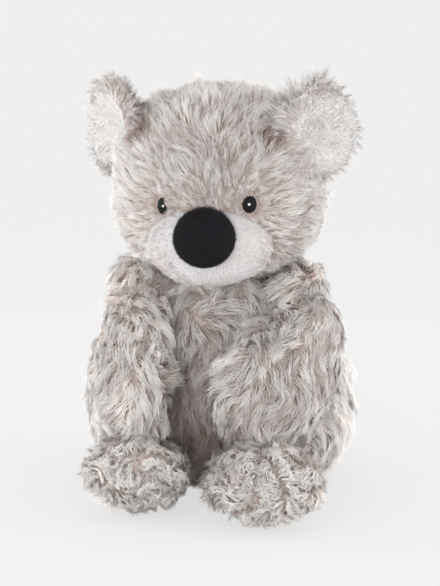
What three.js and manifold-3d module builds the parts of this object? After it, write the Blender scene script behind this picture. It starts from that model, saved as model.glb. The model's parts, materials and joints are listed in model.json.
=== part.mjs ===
// A seated plush koala, in millimetres. +Z is up, the toy faces -Y and its own left side is +X.
// The origin is on the floor, under the middle of the seat.
//
// It is built as it is sewn. Each body part is a bag of fur fabric, as thick as the backing and
// the standing pile together, with stuffing inside and an open end where it is sewn on. The white
// muzzle is a dome let into the head, with a stuffed velour nose. The eyes are embroidered ovals
// at the bottom of trimmed pits in the pile. The ears are dishes of fur with a short white lining,
// the soles are panels let into the feet, and a pouch of pellets weighs the seat down. The root
// of each limb is a ball that presses a hollow of its own shape into the body.
import * as THREE from "three";
import { mergeVertices } from "three/addons/utils/BufferGeometryUtils.js";
import Module from "manifold-3d";

const wasm = await Module();
wasm.setup();

// Fabrics and fits
const backing = 1.5;
const longPile = 9;
const pressedPile = 1.5;
const shortPile = 4;
const velour = 2;
const seamGap = 0.3;
const floorCut = 0.5;
const overrun = 20;

// Body
const bodyHeight = 152;
const bodyWidth = 166;
const bodyDepth = 116;
const bodyLeanShares = [0, 0.06, -0.12];
const bodyWidthShares = [1.0, 1.02, 0.94, 0.68, 0.4];
const bodyDepthShares = [0.98, 1.03, 0.97, 0.76, 0.5];
const bodyFullness = 4.2;
const neckShare = 0.85;
const pouchHeight = 40;

// Head
const headHeight = 122;
const headWidth = 131;
const headDepth = 121;
const headSunk = 5;
const headForward = 5;
const headWidthShares = [0.94, 1, 1, 1.02, 1.08];
const headDepthShares = [0.94, 1, 1.01, 0.99, 0.96];
const headFullness = 2.35;
const headTurn = 20;

// Muzzle, nose and eyes
const muzzleWidth = 74;
const muzzleHeight = 52;
const muzzleReach = 12;
const muzzleSetBack = 15;
const muzzleRimDepth = 22;
const muzzleUp = 28;
const muzzleFullness = 2.5;
const noseWidth = 39;
const noseHeight = 37;
const noseThickness = 13;
const noseProud = 0;
const noseAbove = 9;
const noseTilt = 16;
const noseMouth = 16;
const noseFullness = 2.3;
const eyeWidth = 9;
const eyeHeight = 11;
const eyeThickness = 2.5;
const eyePit = 4;
const eyeRoom = 1.2;
const eyeDrop = 0.3;
const eyeHeading = 26;
const glintWidth = 2.6;
const glintThickness = 0.8;

// Ears
const earWidth = 70;
const earThickness = 20;
const earHollow = 5;
const liningWidth = 40;
const liningShift = 5;
const earUpShare = 0.8;
const earRootShare = 0.24;
const earFullness = 3;
const dishFullness = 2.2;
const earLean = 30;
const earFold = 15;

// Arms
const shoulderWidth = 50;
const shoulderShares = { out: 0.55, front: 0.2, up: 0.785 };
const armLength = 104;
const armWidth = 54;
const armDepth = 46;
const armWidthShares = [0.94, 0.98, 0.98, 1.04, 1.06];
const armDepthShares = [0.96, 1, 1, 1.04, 1.04];
const armFullness = 2.6;
const armMouth = 18;
const armLift = 45;
const armClearing = 12;
const armHeading = 55;

// Legs and feet
const hipWidth = 54;
const legLength = 86;
const footWidth = 77;
const footHeight = 57;
const legWidthShares = [0.72, 0.74, 0.84, 1, 1];
const legHeightShares = [0.84, 0.7, 0.7, 0.96, 1];
const legFullness = 2.6;
const legMouth = 22;
const soleWidth = 50;
const soleHeight = 38;
const soleTilt = 12;
const legSplay = 20;

// How the limbs and ears of each side lie. An ear is placed by shares of half the head's width and
// depth, a hip by shares of half the body's, and the bends and ends of a limb by shares of its
// length. A leg that is bunched up reaches less far, and an arm that is pressed flat is wider and
// less deep.
const sides = {
  left: {
    side: 1,
    earShares: { out: 0.93, front: 0.24 },
    earYaw: 36,
    hipShares: { out: 0.5, front: 0.74 },
    toeOutShare: -0.02,
    legReachShare: 1,
    elbowShares: { out: 0.04, front: 0.4, up: -0.26 },
    handShares: { out: -0.26, front: 0.72, up: -0.72 },
    armPressShare: 1.26,
  },
  right: {
    side: -1,
    earShares: { out: 0.97, front: 0.1 },
    earYaw: 46,
    hipShares: { out: 0.47, front: 0.66 },
    toeOutShare: -0.03,
    legReachShare: 0.86,
    elbowShares: { out: 0.0, front: 0.4, up: -0.26 },
    handShares: { out: -0.03, front: 0.72, up: -0.78 },
    armPressShare: 0.93,
  },
};

// Facets: rings along a form and segments round it
const bodyFacets = { rings: 10, segments: 20 };
const headFacets = { rings: 12, segments: 20 };
const muzzleFacets = { rings: 8, segments: 24 };
const limbFacets = { rings: 9, segments: 14 };
const smallFacets = { rings: 6, segments: 16 };
const ballFacets = { rings: 6, segments: 12 };
const sweepStep = 5;

const fabric = (colour) =>
  new THREE.MeshStandardMaterial({ color: colour, roughness: 0.95, metalness: 0 });
const greyFur = fabric(0xcdc5bf);
const curlyFur = fabric(0xc2b9b2);
const whiteFur = fabric(0xefedeb);
const blackVelour = fabric(0x1b1a1d);
const blackThread = fabric(0x15130f);
const whiteThread = fabric(0xf4f4f2);
const stuffing = fabric(0xf7f6f2);
const pouchCloth = fabric(0xe6dfcf);

const furWall = backing + longPile;
const pressedWall = backing + pressedPile;
const liningWall = backing + shortPile;
const neckHeight = neckShare * bodyHeight;
const radians = THREE.MathUtils.degToRad;
const forward = new THREE.Vector3(0, -1, 0);
const upward = new THREE.Vector3(0, 0, 1);
const place = ({ out = 0, front = 0, up = 0 }, side = 1) =>
  new THREE.Vector3(side * out, -front, up);

// Each stuffed piece has three skins inside each other: the tips of its pile, the back of its
// fabric and the stuffing. A skin lies this deep where the pile is free and where it is pressed.
const tips = { free: 0, pressed: 0 };
const backs = { free: furWall, pressed: pressedWall };
const stuffed = { free: furWall + seamGap, pressed: pressedWall + seamGap };

// The value of a table of evenly spaced shares at a place from 0 to 1, on a smooth curve.
function along(shares, t) {
  const curve = new THREE.CatmullRomCurve3(shares.map((v) => new THREE.Vector3(v, 0, 0)));
  return curve.getPoint(t).x;
}

// A skin of a stuffed form, so deep below its tips, or outside them at a depth below zero. An
// oval section is carried along a bent spine. It swells and tapers by tables of shares, and the
// ends close as a superellipse does: round at fullness 2 and blunter above it.
function skin(form, depth) {
  const { rings, segments } = form.facets;
  const spine = new THREE.CatmullRomCurve3(form.spine);
  const length = spine.getLength();
  const inset = depth / length;
  const power = 2 / form.fullness;
  const points = [];
  for (let i = 0; i <= rings; i++) {
    const turn = (Math.PI * i) / rings;
    const reach = Math.sign(Math.cos(turn)) * Math.pow(Math.abs(Math.cos(turn)), power);
    const close = Math.pow(Math.abs(Math.sin(turn)), power);
    const t = 0.5 - (0.5 - inset) * reach;
    const held = THREE.MathUtils.clamp(t, 0, 1);
    const tangent = spine.getTangent(held);
    const centre = spine.getPoint(held).addScaledVector(tangent, (t - held) * length);
    const aside = new THREE.Vector3().crossVectors(form.depthAxis, tangent).normalize();
    const deepways = new THREE.Vector3().crossVectors(tangent, aside);
    const width = (form.halfWidth * along(form.widthShares, held) - depth) * close;
    const deep = (form.halfDepth * along(form.depthShares, held) - depth) * close;
    const count = i === 0 || i === rings ? 1 : segments;
    for (let k = 0; k < count; k++) {
      const angle = (2 * Math.PI * k) / segments;
      const point = centre.clone().addScaledVector(aside, width * Math.cos(angle));
      points.push(point.addScaledVector(deepways, deep * Math.sin(angle)));
    }
  }
  return solid(closedRings(points, rings, segments));
}

// A closed surface from rings of points, with one point at each end.
function closedRings(points, rings, segments) {
  const at = (ring, k) => {
    if (ring === 0) return 0;
    if (ring === rings) return points.length - 1;
    return 1 + (ring - 1) * segments + (k % segments);
  };
  const index = [];
  for (let i = 0; i < rings; i++) {
    for (let k = 0; k < segments; k++) {
      const near = [at(i, k), at(i, k + 1)];
      const far = [at(i + 1, k), at(i + 1, k + 1)];
      if (i > 0) index.push(near[0], near[1], far[1]);
      if (i < rings - 1) index.push(near[0], far[1], far[0]);
    }
  }
  const geometry = new THREE.BufferGeometry().setFromPoints(points);
  geometry.setIndex(index);
  return geometry;
}

function solid(geometry) {
  const bare = geometry.clone();
  for (const name of ["normal", "uv"]) bare.deleteAttribute(name);
  const merged = mergeVertices(bare, 1e-4);
  return new wasm.Manifold(
    new wasm.Mesh({
      numProp: 3,
      vertProperties: new Float32Array(merged.attributes.position.array),
      triVerts: new Uint32Array(merged.index.array),
    }),
  );
}

function meshOf(name, made, material) {
  const { vertProperties, triVerts, numProp } = made.getMesh();
  const flat = new Float32Array((vertProperties.length / numProp) * 3);
  for (let i = 0; i < flat.length / 3; i++) {
    flat.set(vertProperties.subarray(i * numProp, i * numProp + 3), i * 3);
  }
  const geometry = new THREE.BufferGeometry();
  geometry.setAttribute("position", new THREE.BufferAttribute(flat, 3));
  geometry.setIndex(new THREE.BufferAttribute(triVerts, 1));
  geometry.computeVertexNormals();
  const mesh = new THREE.Mesh(geometry, material);
  mesh.name = name;
  return mesh;
}

const joined = (solids) => solids.reduce((whole, next) => whole.add(next));

// A ball round a pivot, and the hollow that it turns in. The hollow is wider, so that the facets
// of the two stay apart at any angle.
const inRound = Math.cos(Math.PI / ballFacets.segments) ** 2;
function ball(centre, radius) {
  const geometry = new THREE.SphereGeometry(radius, ballFacets.segments, ballFacets.rings);
  return solid(geometry.rotateX(Math.PI / 2).translate(...centre.toArray()));
}
const hollow = (centre, radius, pressed) => ball(centre, (radius + seamGap) / inRound + pressed);

// An oval bar along +Z, from one level to another.
function bar(width, height, from, to) {
  const geometry = new THREE.CylinderGeometry(0.5, 0.5, 1, smallFacets.segments);
  geometry.rotateX(Math.PI / 2).scale(width, height, to - from);
  return geometry.translate(0, 0, (from + to) / 2);
}

// A slab far wider than the toy, from one level to another.
function slab(from, to) {
  const reach = 2 * (bodyWidth + bodyHeight + headHeight + legLength);
  const geometry = new THREE.BoxGeometry(reach, reach, to - from);
  return geometry.translate(0, 0, (from + to) / 2);
}

// The matrix that carries +Z to a direction, +Y as near as can be to straight up, and the origin
// to a place.
function facing(direction, origin) {
  const z = direction.clone().normalize();
  const x = new THREE.Vector3().crossVectors(upward, z).normalize();
  const y = new THREE.Vector3().crossVectors(z, x);
  return new THREE.Matrix4().makeBasis(x, y, z).setPosition(origin);
}
const carried = (geometry, matrix) => solid(geometry.clone().applyMatrix4(matrix));

function turned(made, pivot, axis, degrees) {
  const matrix = new THREE.Matrix4()
    .makeTranslation(...pivot.toArray())
    .multiply(new THREE.Matrix4().makeRotationAxis(axis, radians(degrees)))
    .multiply(new THREE.Matrix4().makeTranslation(...pivot.clone().negate().toArray()));
  return made.transform(matrix.elements);
}

// The space that a solid sweeps as it turns about an axis, from one angle to another.
function swept(made, pivot, axis, from, to) {
  const count = Math.ceil(Math.abs(to - from) / sweepStep);
  const shares = Array.from({ length: count + 1 }, (_, i) => i / count);
  return joined(shares.map((share) => turned(made, pivot, axis, from + share * (to - from))));
}

const belowFloor = solid(slab(-overrun - bodyHeight, 0));
const bodyLength = bodyHeight + floorCut;

// Body: a pear with a blunt seat, pressed in by the limbs' roots and cut off level at the neck
const bodyForm = {
  spine: bodyLeanShares.map(
    (share, i) =>
      new THREE.Vector3(
        0,
        (share * bodyDepth) / 2,
        (i / (bodyLeanShares.length - 1)) * bodyLength - floorCut,
      ),
  ),
  depthAxis: forward,
  halfWidth: bodyWidth / 2,
  halfDepth: bodyDepth / 2,
  widthShares: bodyWidthShares,
  depthShares: bodyDepthShares,
  fullness: bodyFullness,
  facets: bodyFacets,
};
const shoulderOf = ({ side }) =>
  place(
    {
      out: (shoulderShares.out * bodyWidth) / 2,
      front: (shoulderShares.front * bodyDepth) / 2,
      up: shoulderShares.up * bodyHeight,
    },
    side,
  );
const hipOf = ({ side, hipShares }) =>
  place(
    {
      out: (hipShares.out * bodyWidth) / 2,
      front: (hipShares.front * bodyDepth) / 2,
      up: hipWidth / 2 - floorCut,
    },
    side,
  );

function bodyBulk(level) {
  const roots = Object.values(sides).flatMap((pose) => [
    hollow(shoulderOf(pose), shoulderWidth / 2, level.pressed),
    hollow(hipOf(pose), hipWidth / 2, level.pressed),
  ]);
  return skin(bodyForm, level.free).subtract(joined(roots));
}
const aboveNeck = solid(slab(neckHeight, neckHeight + bodyHeight));
const belowNeck = solid(slab(-neckHeight, neckHeight + seamGap));
const bodyCover = bodyBulk(tips).subtract(bodyBulk(backs)).subtract(aboveNeck).subtract(belowFloor);
const bodyStuffed = bodyBulk(stuffed).subtract(aboveNeck);
const pouch = bodyStuffed.subtract(solid(slab(pouchHeight, pouchHeight + bodyHeight)));
const bodyFilling = bodyStuffed.subtract(solid(slab(-overrun, pouchHeight + seamGap)));

// Head: an upright egg, cut off level at the neck
const headBase = neckHeight - headSunk;
const headForm = {
  spine: [0, 0.5, 1].map(
    (share) => new THREE.Vector3(0, -headForward, headBase + share * headHeight),
  ),
  depthAxis: forward,
  halfWidth: headWidth / 2,
  halfDepth: headDepth / 2,
  widthShares: headWidthShares,
  depthShares: headDepthShares,
  fullness: headFullness,
  facets: headFacets,
};
const neck = new THREE.Vector3(0, -headForward, neckHeight);
const headTips = skin(headForm, tips.free);

// Where a line from a place inside a solid leaves it.
function exitOf(made, from, towards) {
  const shell = meshOf("shell", made, new THREE.MeshBasicMaterial({ side: THREE.DoubleSide }));
  return new THREE.Raycaster(from, towards.clone().normalize()).intersectObject(shell)[0].point;
}

// Muzzle: an egg lying across the face. Its front is a dome of short pile, open at the back.
const muzzleCore = new THREE.Vector3(0, -headForward, neckHeight + muzzleUp);
const face = exitOf(headTips, muzzleCore, forward);
const muzzleForm = {
  spine: [2 * muzzleSetBack + muzzleReach, -muzzleReach].map(
    (back) => new THREE.Vector3(0, face.y + back, face.z),
  ),
  depthAxis: upward,
  halfWidth: muzzleWidth / 2,
  halfDepth: muzzleHeight / 2,
  widthShares: [1, 1],
  depthShares: [1, 1],
  fullness: muzzleFullness,
  facets: muzzleFacets,
};
const rim = facing(forward, new THREE.Vector3(0, face.y + muzzleRimDepth, face.z));
const behindRim = carried(slab(-headDepth, 0), rim);
const behindMuzzle = carried(slab(-headDepth, -seamGap), rim);
const muzzleSpace = skin(muzzleForm, -seamGap);

// Nose: a velour cushion that sits in the top of the muzzle and looks slightly up
const noseFacing = forward.clone().applyAxisAngle(new THREE.Vector3(1, 0, 0), -radians(noseTilt));
const noseSeat = exitOf(
  skin(muzzleForm, tips.free),
  new THREE.Vector3(0, face.y + muzzleSetBack, face.z + noseAbove),
  forward,
);
const noseForm = {
  spine: [-noseThickness / 2 + noseProud, noseThickness / 2 + noseProud].map((reach) =>
    noseSeat.clone().addScaledVector(noseFacing, reach),
  ),
  depthAxis: upward,
  halfWidth: noseWidth / 2,
  halfDepth: noseHeight / 2,
  widthShares: [1, 1],
  depthShares: [1, 1],
  fullness: noseFullness,
  facets: smallFacets,
};
const noseSpace = skin(noseForm, -seamGap);
const noseMouthBar = carried(
  bar(noseMouth, noseMouth, -noseThickness, noseProud),
  facing(noseFacing, noseSeat),
);
const noseCover = skin(noseForm, 0).subtract(skin(noseForm, velour)).subtract(noseMouthBar);
const noseFilling = skin(noseForm, velour + seamGap);
const muzzleCover = skin(muzzleForm, 0)
  .subtract(skin(muzzleForm, liningWall))
  .subtract(behindRim)
  .subtract(noseSpace);

// Eyes: each is an oval of thread at the bottom of a pit in the pile, with a light dot on it
function eyeOf(side) {
  const core = new THREE.Vector3(0, -headForward, face.z + muzzleHeight / 2 - eyeDrop);
  const towards = forward.clone().applyAxisAngle(upward, side * radians(eyeHeading));
  const front = exitOf(headTips, core, towards).addScaledVector(towards, -eyePit);
  const frame = facing(towards, front);
  const pitWidth = eyeWidth + 2 * eyeRoom;
  const pitHeight = eyeHeight + 2 * eyeRoom;
  return {
    pit: carried(bar(pitWidth, pitHeight, -eyeThickness - seamGap, overrun), frame),
    eye: carried(bar(eyeWidth, eyeHeight, -eyeThickness, 0), frame).subtract(muzzleSpace),
    glint: carried(bar(glintWidth, glintWidth, seamGap, seamGap + glintThickness), frame),
  };
}
const eyes = { left: eyeOf(1), right: eyeOf(-1) };

const headCover = headTips
  .subtract(skin(headForm, backs.free))
  .subtract(muzzleSpace)
  .subtract(noseSpace)
  .subtract(joined([eyes.left.pit, eyes.right.pit]))
  .subtract(belowNeck);
const headFilling = skin(headForm, stuffed.free)
  .subtract(muzzleSpace.subtract(behindMuzzle))
  .add(skin(muzzleForm, liningWall + seamGap))
  .subtract(noseSpace)
  .subtract(belowNeck);

// Ears: each is a disc of fur with a dish of short white pile in its front. It is cut clear of the
// head wherever it folds about its root.
function earOf({ side, earShares, earYaw }) {
  const centre = place(
    {
      out: (earShares.out * headWidth) / 2,
      front: headForward + (earShares.front * headDepth) / 2,
      up: headBase + earUpShare * headHeight,
    },
    side,
  );
  const facingOut = forward.clone().applyAxisAngle(upward, side * radians(earYaw));
  const outward = new THREE.Vector3().crossVectors(upward, facingOut).multiplyScalar(side);
  const lean = radians(earLean);
  const axis = upward.clone().multiplyScalar(Math.cos(lean));
  axis.addScaledVector(outward, -Math.sin(lean));
  const inward = outward.clone().multiplyScalar(-Math.cos(lean));
  inward.addScaledVector(upward, -Math.sin(lean));
  const root = centre.clone().addScaledVector(inward, (earRootShare * earWidth) / 2);
  const disc = (middle, width, reach, fullness) => ({
    spine: [-reach, reach].map((by) => middle.clone().addScaledVector(facingOut, by)),
    depthAxis: upward,
    halfWidth: width / 2,
    halfDepth: width / 2,
    widthShares: [1, 1],
    depthShares: [1, 1],
    fullness,
    facets: smallFacets,
  });
  const headSweep = swept(skin(headForm, -seamGap), root, axis, -earFold, earFold);
  const whole = skin(disc(centre, earWidth, earThickness / 2, earFullness), 0).subtract(headSweep);
  const dishMiddle = centre
    .clone()
    .addScaledVector(facingOut, earThickness / 2)
    .addScaledVector(outward, liningShift);
  const dish = disc(dishMiddle, liningWidth, earHollow, dishFullness);
  return {
    back: whole.subtract(skin(dish, -liningWall - seamGap)),
    lining: skin(dish, -liningWall).subtract(skin(dish, 0)).intersect(whole),
    root,
    axis,
  };
}
const ears = { left: earOf(sides.left), right: earOf(sides.right) };

// The space on the other side of the middle, where the other limb of a pair lies
const middle = new THREE.Vector3();
const otherSide = (side) =>
  carried(slab(-bodyWidth, seamGap / 2), facing(new THREE.Vector3(side, 0, 0), middle));

// Legs: a thigh that lies on the floor and ends in a large foot with a sole
function legFormOf(pose) {
  const hip = hipOf(pose);
  const reach = pose.legReachShare * legLength;
  const spine = legHeightShares.map((share, i) => {
    const t = i / (legHeightShares.length - 1);
    return new THREE.Vector3(
      hip.x + pose.side * pose.toeOutShare * reach * t,
      hip.y - reach * t,
      (share * footHeight) / 2 - floorCut,
    );
  });
  return {
    spine,
    depthAxis: upward,
    halfWidth: footWidth / 2,
    halfDepth: footHeight / 2,
    widthShares: legWidthShares,
    depthShares: legHeightShares,
    fullness: legFullness,
    facets: limbFacets,
  };
}

function legOf(pose) {
  const { side } = pose;
  const form = legFormOf(pose);
  const hip = hipOf(pose);
  const bulk = (level) => {
    const bodySpace = skin(bodyForm, -seamGap - level.pressed);
    return skin(form, level.free)
      .subtract(swept(bodySpace, hip, upward, -side * legSplay, 0))
      .add(ball(hip, hipWidth / 2 - level.pressed))
      .subtract(otherSide(side));
  };
  const toe = form.spine.at(-1);
  const tilt = new THREE.Vector3(0, -Math.cos(radians(soleTilt)), Math.sin(radians(soleTilt)));
  const soleFrame = facing(tilt, toe);
  const soleBar = carried(bar(soleWidth, soleHeight, -2 * furWall, overrun), soleFrame);
  const soleRoom = carried(
    bar(soleWidth + 2 * seamGap, soleHeight + 2 * seamGap, -2 * furWall - seamGap, overrun),
    soleFrame,
  );
  const inward = new THREE.Vector3(-side, 1, 0);
  const mouth = carried(bar(legMouth, legMouth, 0, hipWidth), facing(inward, hip));
  const skinOfFur = bulk(tips).subtract(bulk(backs)).subtract(belowFloor);
  return {
    cover: skinOfFur.subtract(soleRoom).subtract(mouth),
    sole: skinOfFur.intersect(soleBar),
    filling: bulk(stuffed).subtract(belowFloor),
    form,
    hip,
  };
}
const legs = { left: legOf(sides.left), right: legOf(sides.right) };

// Arms: each hangs from the shoulder, bends at the elbow and lays its hand on the leg
function armOf(pose, leg) {
  const { side, elbowShares, handShares } = pose;
  const shoulder = shoulderOf(pose);
  const bend = (shares) =>
    place(
      {
        out: shares.out * armLength,
        front: shares.front * armLength,
        up: shares.up * armLength,
      },
      side,
    ).add(shoulder);
  const form = {
    spine: [shoulder, bend(elbowShares), bend(handShares)],
    depthAxis: forward,
    halfWidth: (armWidth * pose.armPressShare) / 2,
    halfDepth: armDepth / pose.armPressShare / 2,
    widthShares: armWidthShares,
    depthShares: armDepthShares,
    fullness: armFullness,
    facets: limbFacets,
  };
  const heading = forward.clone().applyAxisAngle(upward, side * radians(armHeading));
  const axis = new THREE.Vector3().crossVectors(heading, upward);
  const headReach = Math.max(headWidth, headDepth) / 2 / Math.cos(Math.PI / headFacets.segments);
  const headRound = {
    ...headForm,
    halfWidth: headReach,
    halfDepth: headReach,
    depthShares: headWidthShares,
  };
  const bulk = (level) => {
    const off = seamGap + level.pressed;
    const legSpace = skin(leg.form, -off).add(hollow(leg.hip, hipWidth / 2, level.pressed));
    const legSplayed = swept(legSpace, leg.hip, upward, 0, side * legSplay);
    return skin(form, level.free)
      .subtract(swept(skin(bodyForm, -off), shoulder, axis, -armLift, 0))
      .add(ball(shoulder, shoulderWidth / 2 - level.pressed))
      .subtract(swept(skin(headRound, -off), shoulder, axis, -armLift, 0))
      .subtract(swept(legSplayed, shoulder, axis, -armClearing, 0))
      .subtract(otherSide(side));
  };
  const inward = new THREE.Vector3(-side, 0, 0);
  const mouth = carried(bar(armMouth, armMouth, 0, shoulderWidth), facing(inward, shoulder));
  return {
    cover: bulk(tips).subtract(bulk(backs)).subtract(mouth),
    filling: bulk(stuffed),
    shoulder,
    axis,
  };
}
const arms = { left: armOf(sides.left, legs.left), right: armOf(sides.right, legs.right) };

// A group of pieces that turn together about an axis through its own origin.
function hinged(parent, pivot, axis, degrees, meshes) {
  const group = new THREE.Group();
  group.position.copy(pivot).sub(parent.getWorldPosition(new THREE.Vector3()));
  for (const mesh of meshes) mesh.geometry.translate(...pivot.clone().negate().toArray());
  group.add(...meshes);
  group.userData = { axis: axis.toArray(), degrees };
  parent.add(group);
  group.updateWorldMatrix(true, true);
  return group;
}

const koala = new THREE.Group();
koala.add(
  meshOf("body_cover", bodyCover, greyFur),
  meshOf("body_filling", bodyFilling, stuffing),
  meshOf("pellet_pouch", pouch, pouchCloth),
);
const head = hinged(koala, neck, upward, [-headTurn, headTurn], [
  meshOf("head_cover", headCover, greyFur),
  meshOf("head_filling", headFilling, stuffing),
  meshOf("muzzle_cover", muzzleCover, whiteFur),
  meshOf("nose_cover", noseCover, blackVelour),
  meshOf("nose_filling", noseFilling, stuffing),
  ...Object.keys(sides).flatMap((name) => [
    meshOf(`eye_${name}`, eyes[name].eye, blackThread),
    meshOf(`eye_glint_${name}`, eyes[name].glint, whiteThread),
  ]),
]);
for (const [name, { side }] of Object.entries(sides)) {
  const [ear, arm, leg] = [ears[name], arms[name], legs[name]];
  hinged(head, ear.root, ear.axis, [-earFold, earFold], [
    meshOf(`ear_back_${name}`, ear.back, greyFur),
    meshOf(`ear_lining_${name}`, ear.lining, whiteFur),
  ]);
  hinged(koala, arm.shoulder, arm.axis, [0, armLift], [
    meshOf(`arm_cover_${name}`, arm.cover, greyFur),
    meshOf(`arm_filling_${name}`, arm.filling, stuffing),
  ]);
  hinged(koala, leg.hip, upward.clone().multiplyScalar(side), [0, legSplay], [
    meshOf(`leg_cover_${name}`, leg.cover, greyFur),
    meshOf(`leg_filling_${name}`, leg.filling, stuffing),
    meshOf(`sole_${name}`, leg.sole, curlyFur),
  ]);
}

export default koala;
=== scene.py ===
"""A seated plush koala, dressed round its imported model, in metres.

+Z is up, the toy faces -Y and its own left side is +X. Each stuffed part is a closed form of
backing cloth, and its fur grows out of that cloth in locks. A lock is a handful of tapered
strands whose tips draw together. A comb, which is a function of the place on the toy, says
which way the locks lie.
"""

import json
import math

import bpy
import numpy as np
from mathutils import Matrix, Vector


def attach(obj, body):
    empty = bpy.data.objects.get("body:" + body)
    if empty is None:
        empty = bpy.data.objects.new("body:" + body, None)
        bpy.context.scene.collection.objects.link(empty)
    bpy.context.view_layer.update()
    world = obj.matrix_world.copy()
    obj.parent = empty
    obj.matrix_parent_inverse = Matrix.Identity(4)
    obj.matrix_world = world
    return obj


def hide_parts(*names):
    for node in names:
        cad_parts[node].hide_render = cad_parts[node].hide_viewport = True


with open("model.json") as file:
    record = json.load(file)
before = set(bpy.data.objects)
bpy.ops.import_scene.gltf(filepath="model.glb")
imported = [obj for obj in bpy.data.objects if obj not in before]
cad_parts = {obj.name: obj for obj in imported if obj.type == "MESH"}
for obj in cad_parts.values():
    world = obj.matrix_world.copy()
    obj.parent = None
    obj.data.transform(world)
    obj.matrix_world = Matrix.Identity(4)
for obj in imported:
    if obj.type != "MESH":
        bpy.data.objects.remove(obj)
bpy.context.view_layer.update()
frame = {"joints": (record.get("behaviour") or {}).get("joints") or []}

MM = 0.001
SIDES = {"left": 1, "right": -1}
JOINTS = {joint["name"]: joint for joint in frame["joints"]}


def pivot(joint):
    """The place of a joint, from the frame."""
    return np.array(JOINTS[joint]["pos_m"], float)


# Cloth and pile, where an underfur is how deep the cloth lies below the tips
BACKING = 1.5 * MM
LONG_PILE = 9 * MM
FUR_WALL = BACKING + LONG_PILE
UNDERFUR = 5.5 * MM
HEAD_UNDERFUR = 4.5 * MM
FLOOR_CUT = 0.5 * MM

# The stuffed forms, as the solids have them
NECK = pivot("head_turn")
HEAD_SUNK = 5 * MM
HEAD_HEIGHT = 122 * MM
FORMS_FORWARD = np.array([0.0, -1.0, 0.0])
FORMS_UP = np.array([0.0, 0.0, 1.0])
EVEN = (1, 1)
SLIGHT = 1e-3


def spline_at(points, t):
    """Places on a smooth curve through points that are evenly spaced in t, from 0 to 1.

    Between the points b and c, with a before and d after them, a place at the share s is
    (2b + (c - a)s + (2a - 5b + 4c - d)s^2 + (3b - a - 3c + d)s^3) / 2. Past each end the
    points are mirrored.
    """
    points = np.asarray(points, float)
    points = points.reshape(len(points), -1)
    ends = 2 * points[:1] - points[1:2], 2 * points[-1:] - points[-2:-1]
    held = np.vstack([ends[0], points, ends[1]])
    stretches = len(points) - 1
    place = np.clip(t, 0, 1) * stretches
    i = np.minimum(place.astype(int), stretches - 1)
    s = (place - i)[..., None]
    a, b, c, d = held[i], held[i + 1], held[i + 2], held[i + 3]
    cubic = 3 * b - a - 3 * c + d
    return (2 * b + (c - a) * s + (2 * a - 5 * b + 4 * c - d) * s**2 + cubic * s**3) / 2


def unit(vectors):
    """Vectors of length one along the given ones."""
    length = np.linalg.norm(vectors, axis=-1, keepdims=True)
    return vectors / np.maximum(length, 1e-9)


def distance(points, place):
    """How far points are from a place."""
    return np.linalg.norm(points - place, axis=1)


def nearest(points, places):
    """How far points are from the nearest of a few places."""
    return np.min([distance(points, place) for place in places], axis=0)


def stuffed(
    spine, depth_axis, half_width, half_depth, fullness, width_shares=EVEN, depth_shares=EVEN
):
    """A stuffed form: an oval carried along a bent spine, which swells and tapers by shares."""
    spine = np.asarray(spine, float)
    fine = spline_at(spine, np.linspace(0, 1, 65))
    length = np.linalg.norm(np.diff(fine, axis=0), axis=1).sum()
    return {
        "spine": spine,
        "length": length,
        "depth_axis": np.asarray(depth_axis, float),
        "half_width": half_width,
        "half_depth": half_depth,
        "width_shares": width_shares,
        "depth_shares": depth_shares,
        "power": 2 / fullness,
    }


def rings_of(form, u, depth):
    """The ovals of a form at the shares u of the way from end to end, so deep below its tips.

    With c = cos(pi u) and p = 2 / fullness, the centre is at t = 1/2 - (1/2 - depth / length)
    sgn(c) |c|^p along the spine, carried straight on past its ends, and the half axes are
    (half width x share - depth) |sin(pi u)|^p and the same for the half depth.
    """
    turn = np.pi * u
    reach = np.sign(np.cos(turn)) * np.abs(np.cos(turn)) ** form["power"]
    close = np.abs(np.sin(turn)) ** form["power"]
    t = 0.5 - (0.5 - depth / form["length"]) * reach
    held = np.clip(t, 0, 1)
    ahead = spline_at(form["spine"], np.clip(held + SLIGHT, 0, 1))
    behind = spline_at(form["spine"], np.clip(held - SLIGHT, 0, 1))
    tangent = unit(ahead - behind)
    past = ((t - held) * form["length"])[..., None]
    centre = spline_at(form["spine"], held) + past * tangent
    aside = unit(np.cross(np.broadcast_to(form["depth_axis"], tangent.shape), tangent))
    deepways = np.cross(tangent, aside)
    width_share = spline_at(form["width_shares"], held)[..., 0]
    depth_share = spline_at(form["depth_shares"], held)[..., 0]
    width = (form["half_width"] * width_share - depth) * close
    deep = (form["half_depth"] * depth_share - depth) * close
    return centre, tangent, aside, deepways, width, deep


def skin(form, u, v, depth):
    """Points of a form's skin: centre + width cos(2 pi v) aside + deep sin(2 pi v) deepways."""
    centre, _, aside, deepways, width, deep = rings_of(form, u, depth)
    angle = 2 * np.pi * v
    across = (width * np.cos(angle))[..., None] * aside
    return centre + across + (deep * np.sin(angle))[..., None] * deepways


def normals_on(form, u, v, depth):
    """Outward normals: the cross product of slight steps along v and along u."""
    u = np.clip(u, 4 * SLIGHT, 1 - 4 * SLIGHT)
    along = skin(form, u + SLIGHT, v, depth) - skin(form, u - SLIGHT, v, depth)
    round_it = skin(form, u, v + SLIGHT, depth) - skin(form, u, v - SLIGHT, depth)
    return unit(np.cross(round_it, along))


RING_REACH = 0.6
RING_MARGIN = 0.3 * MM
OFF_RING_LOSS = 20


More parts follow.
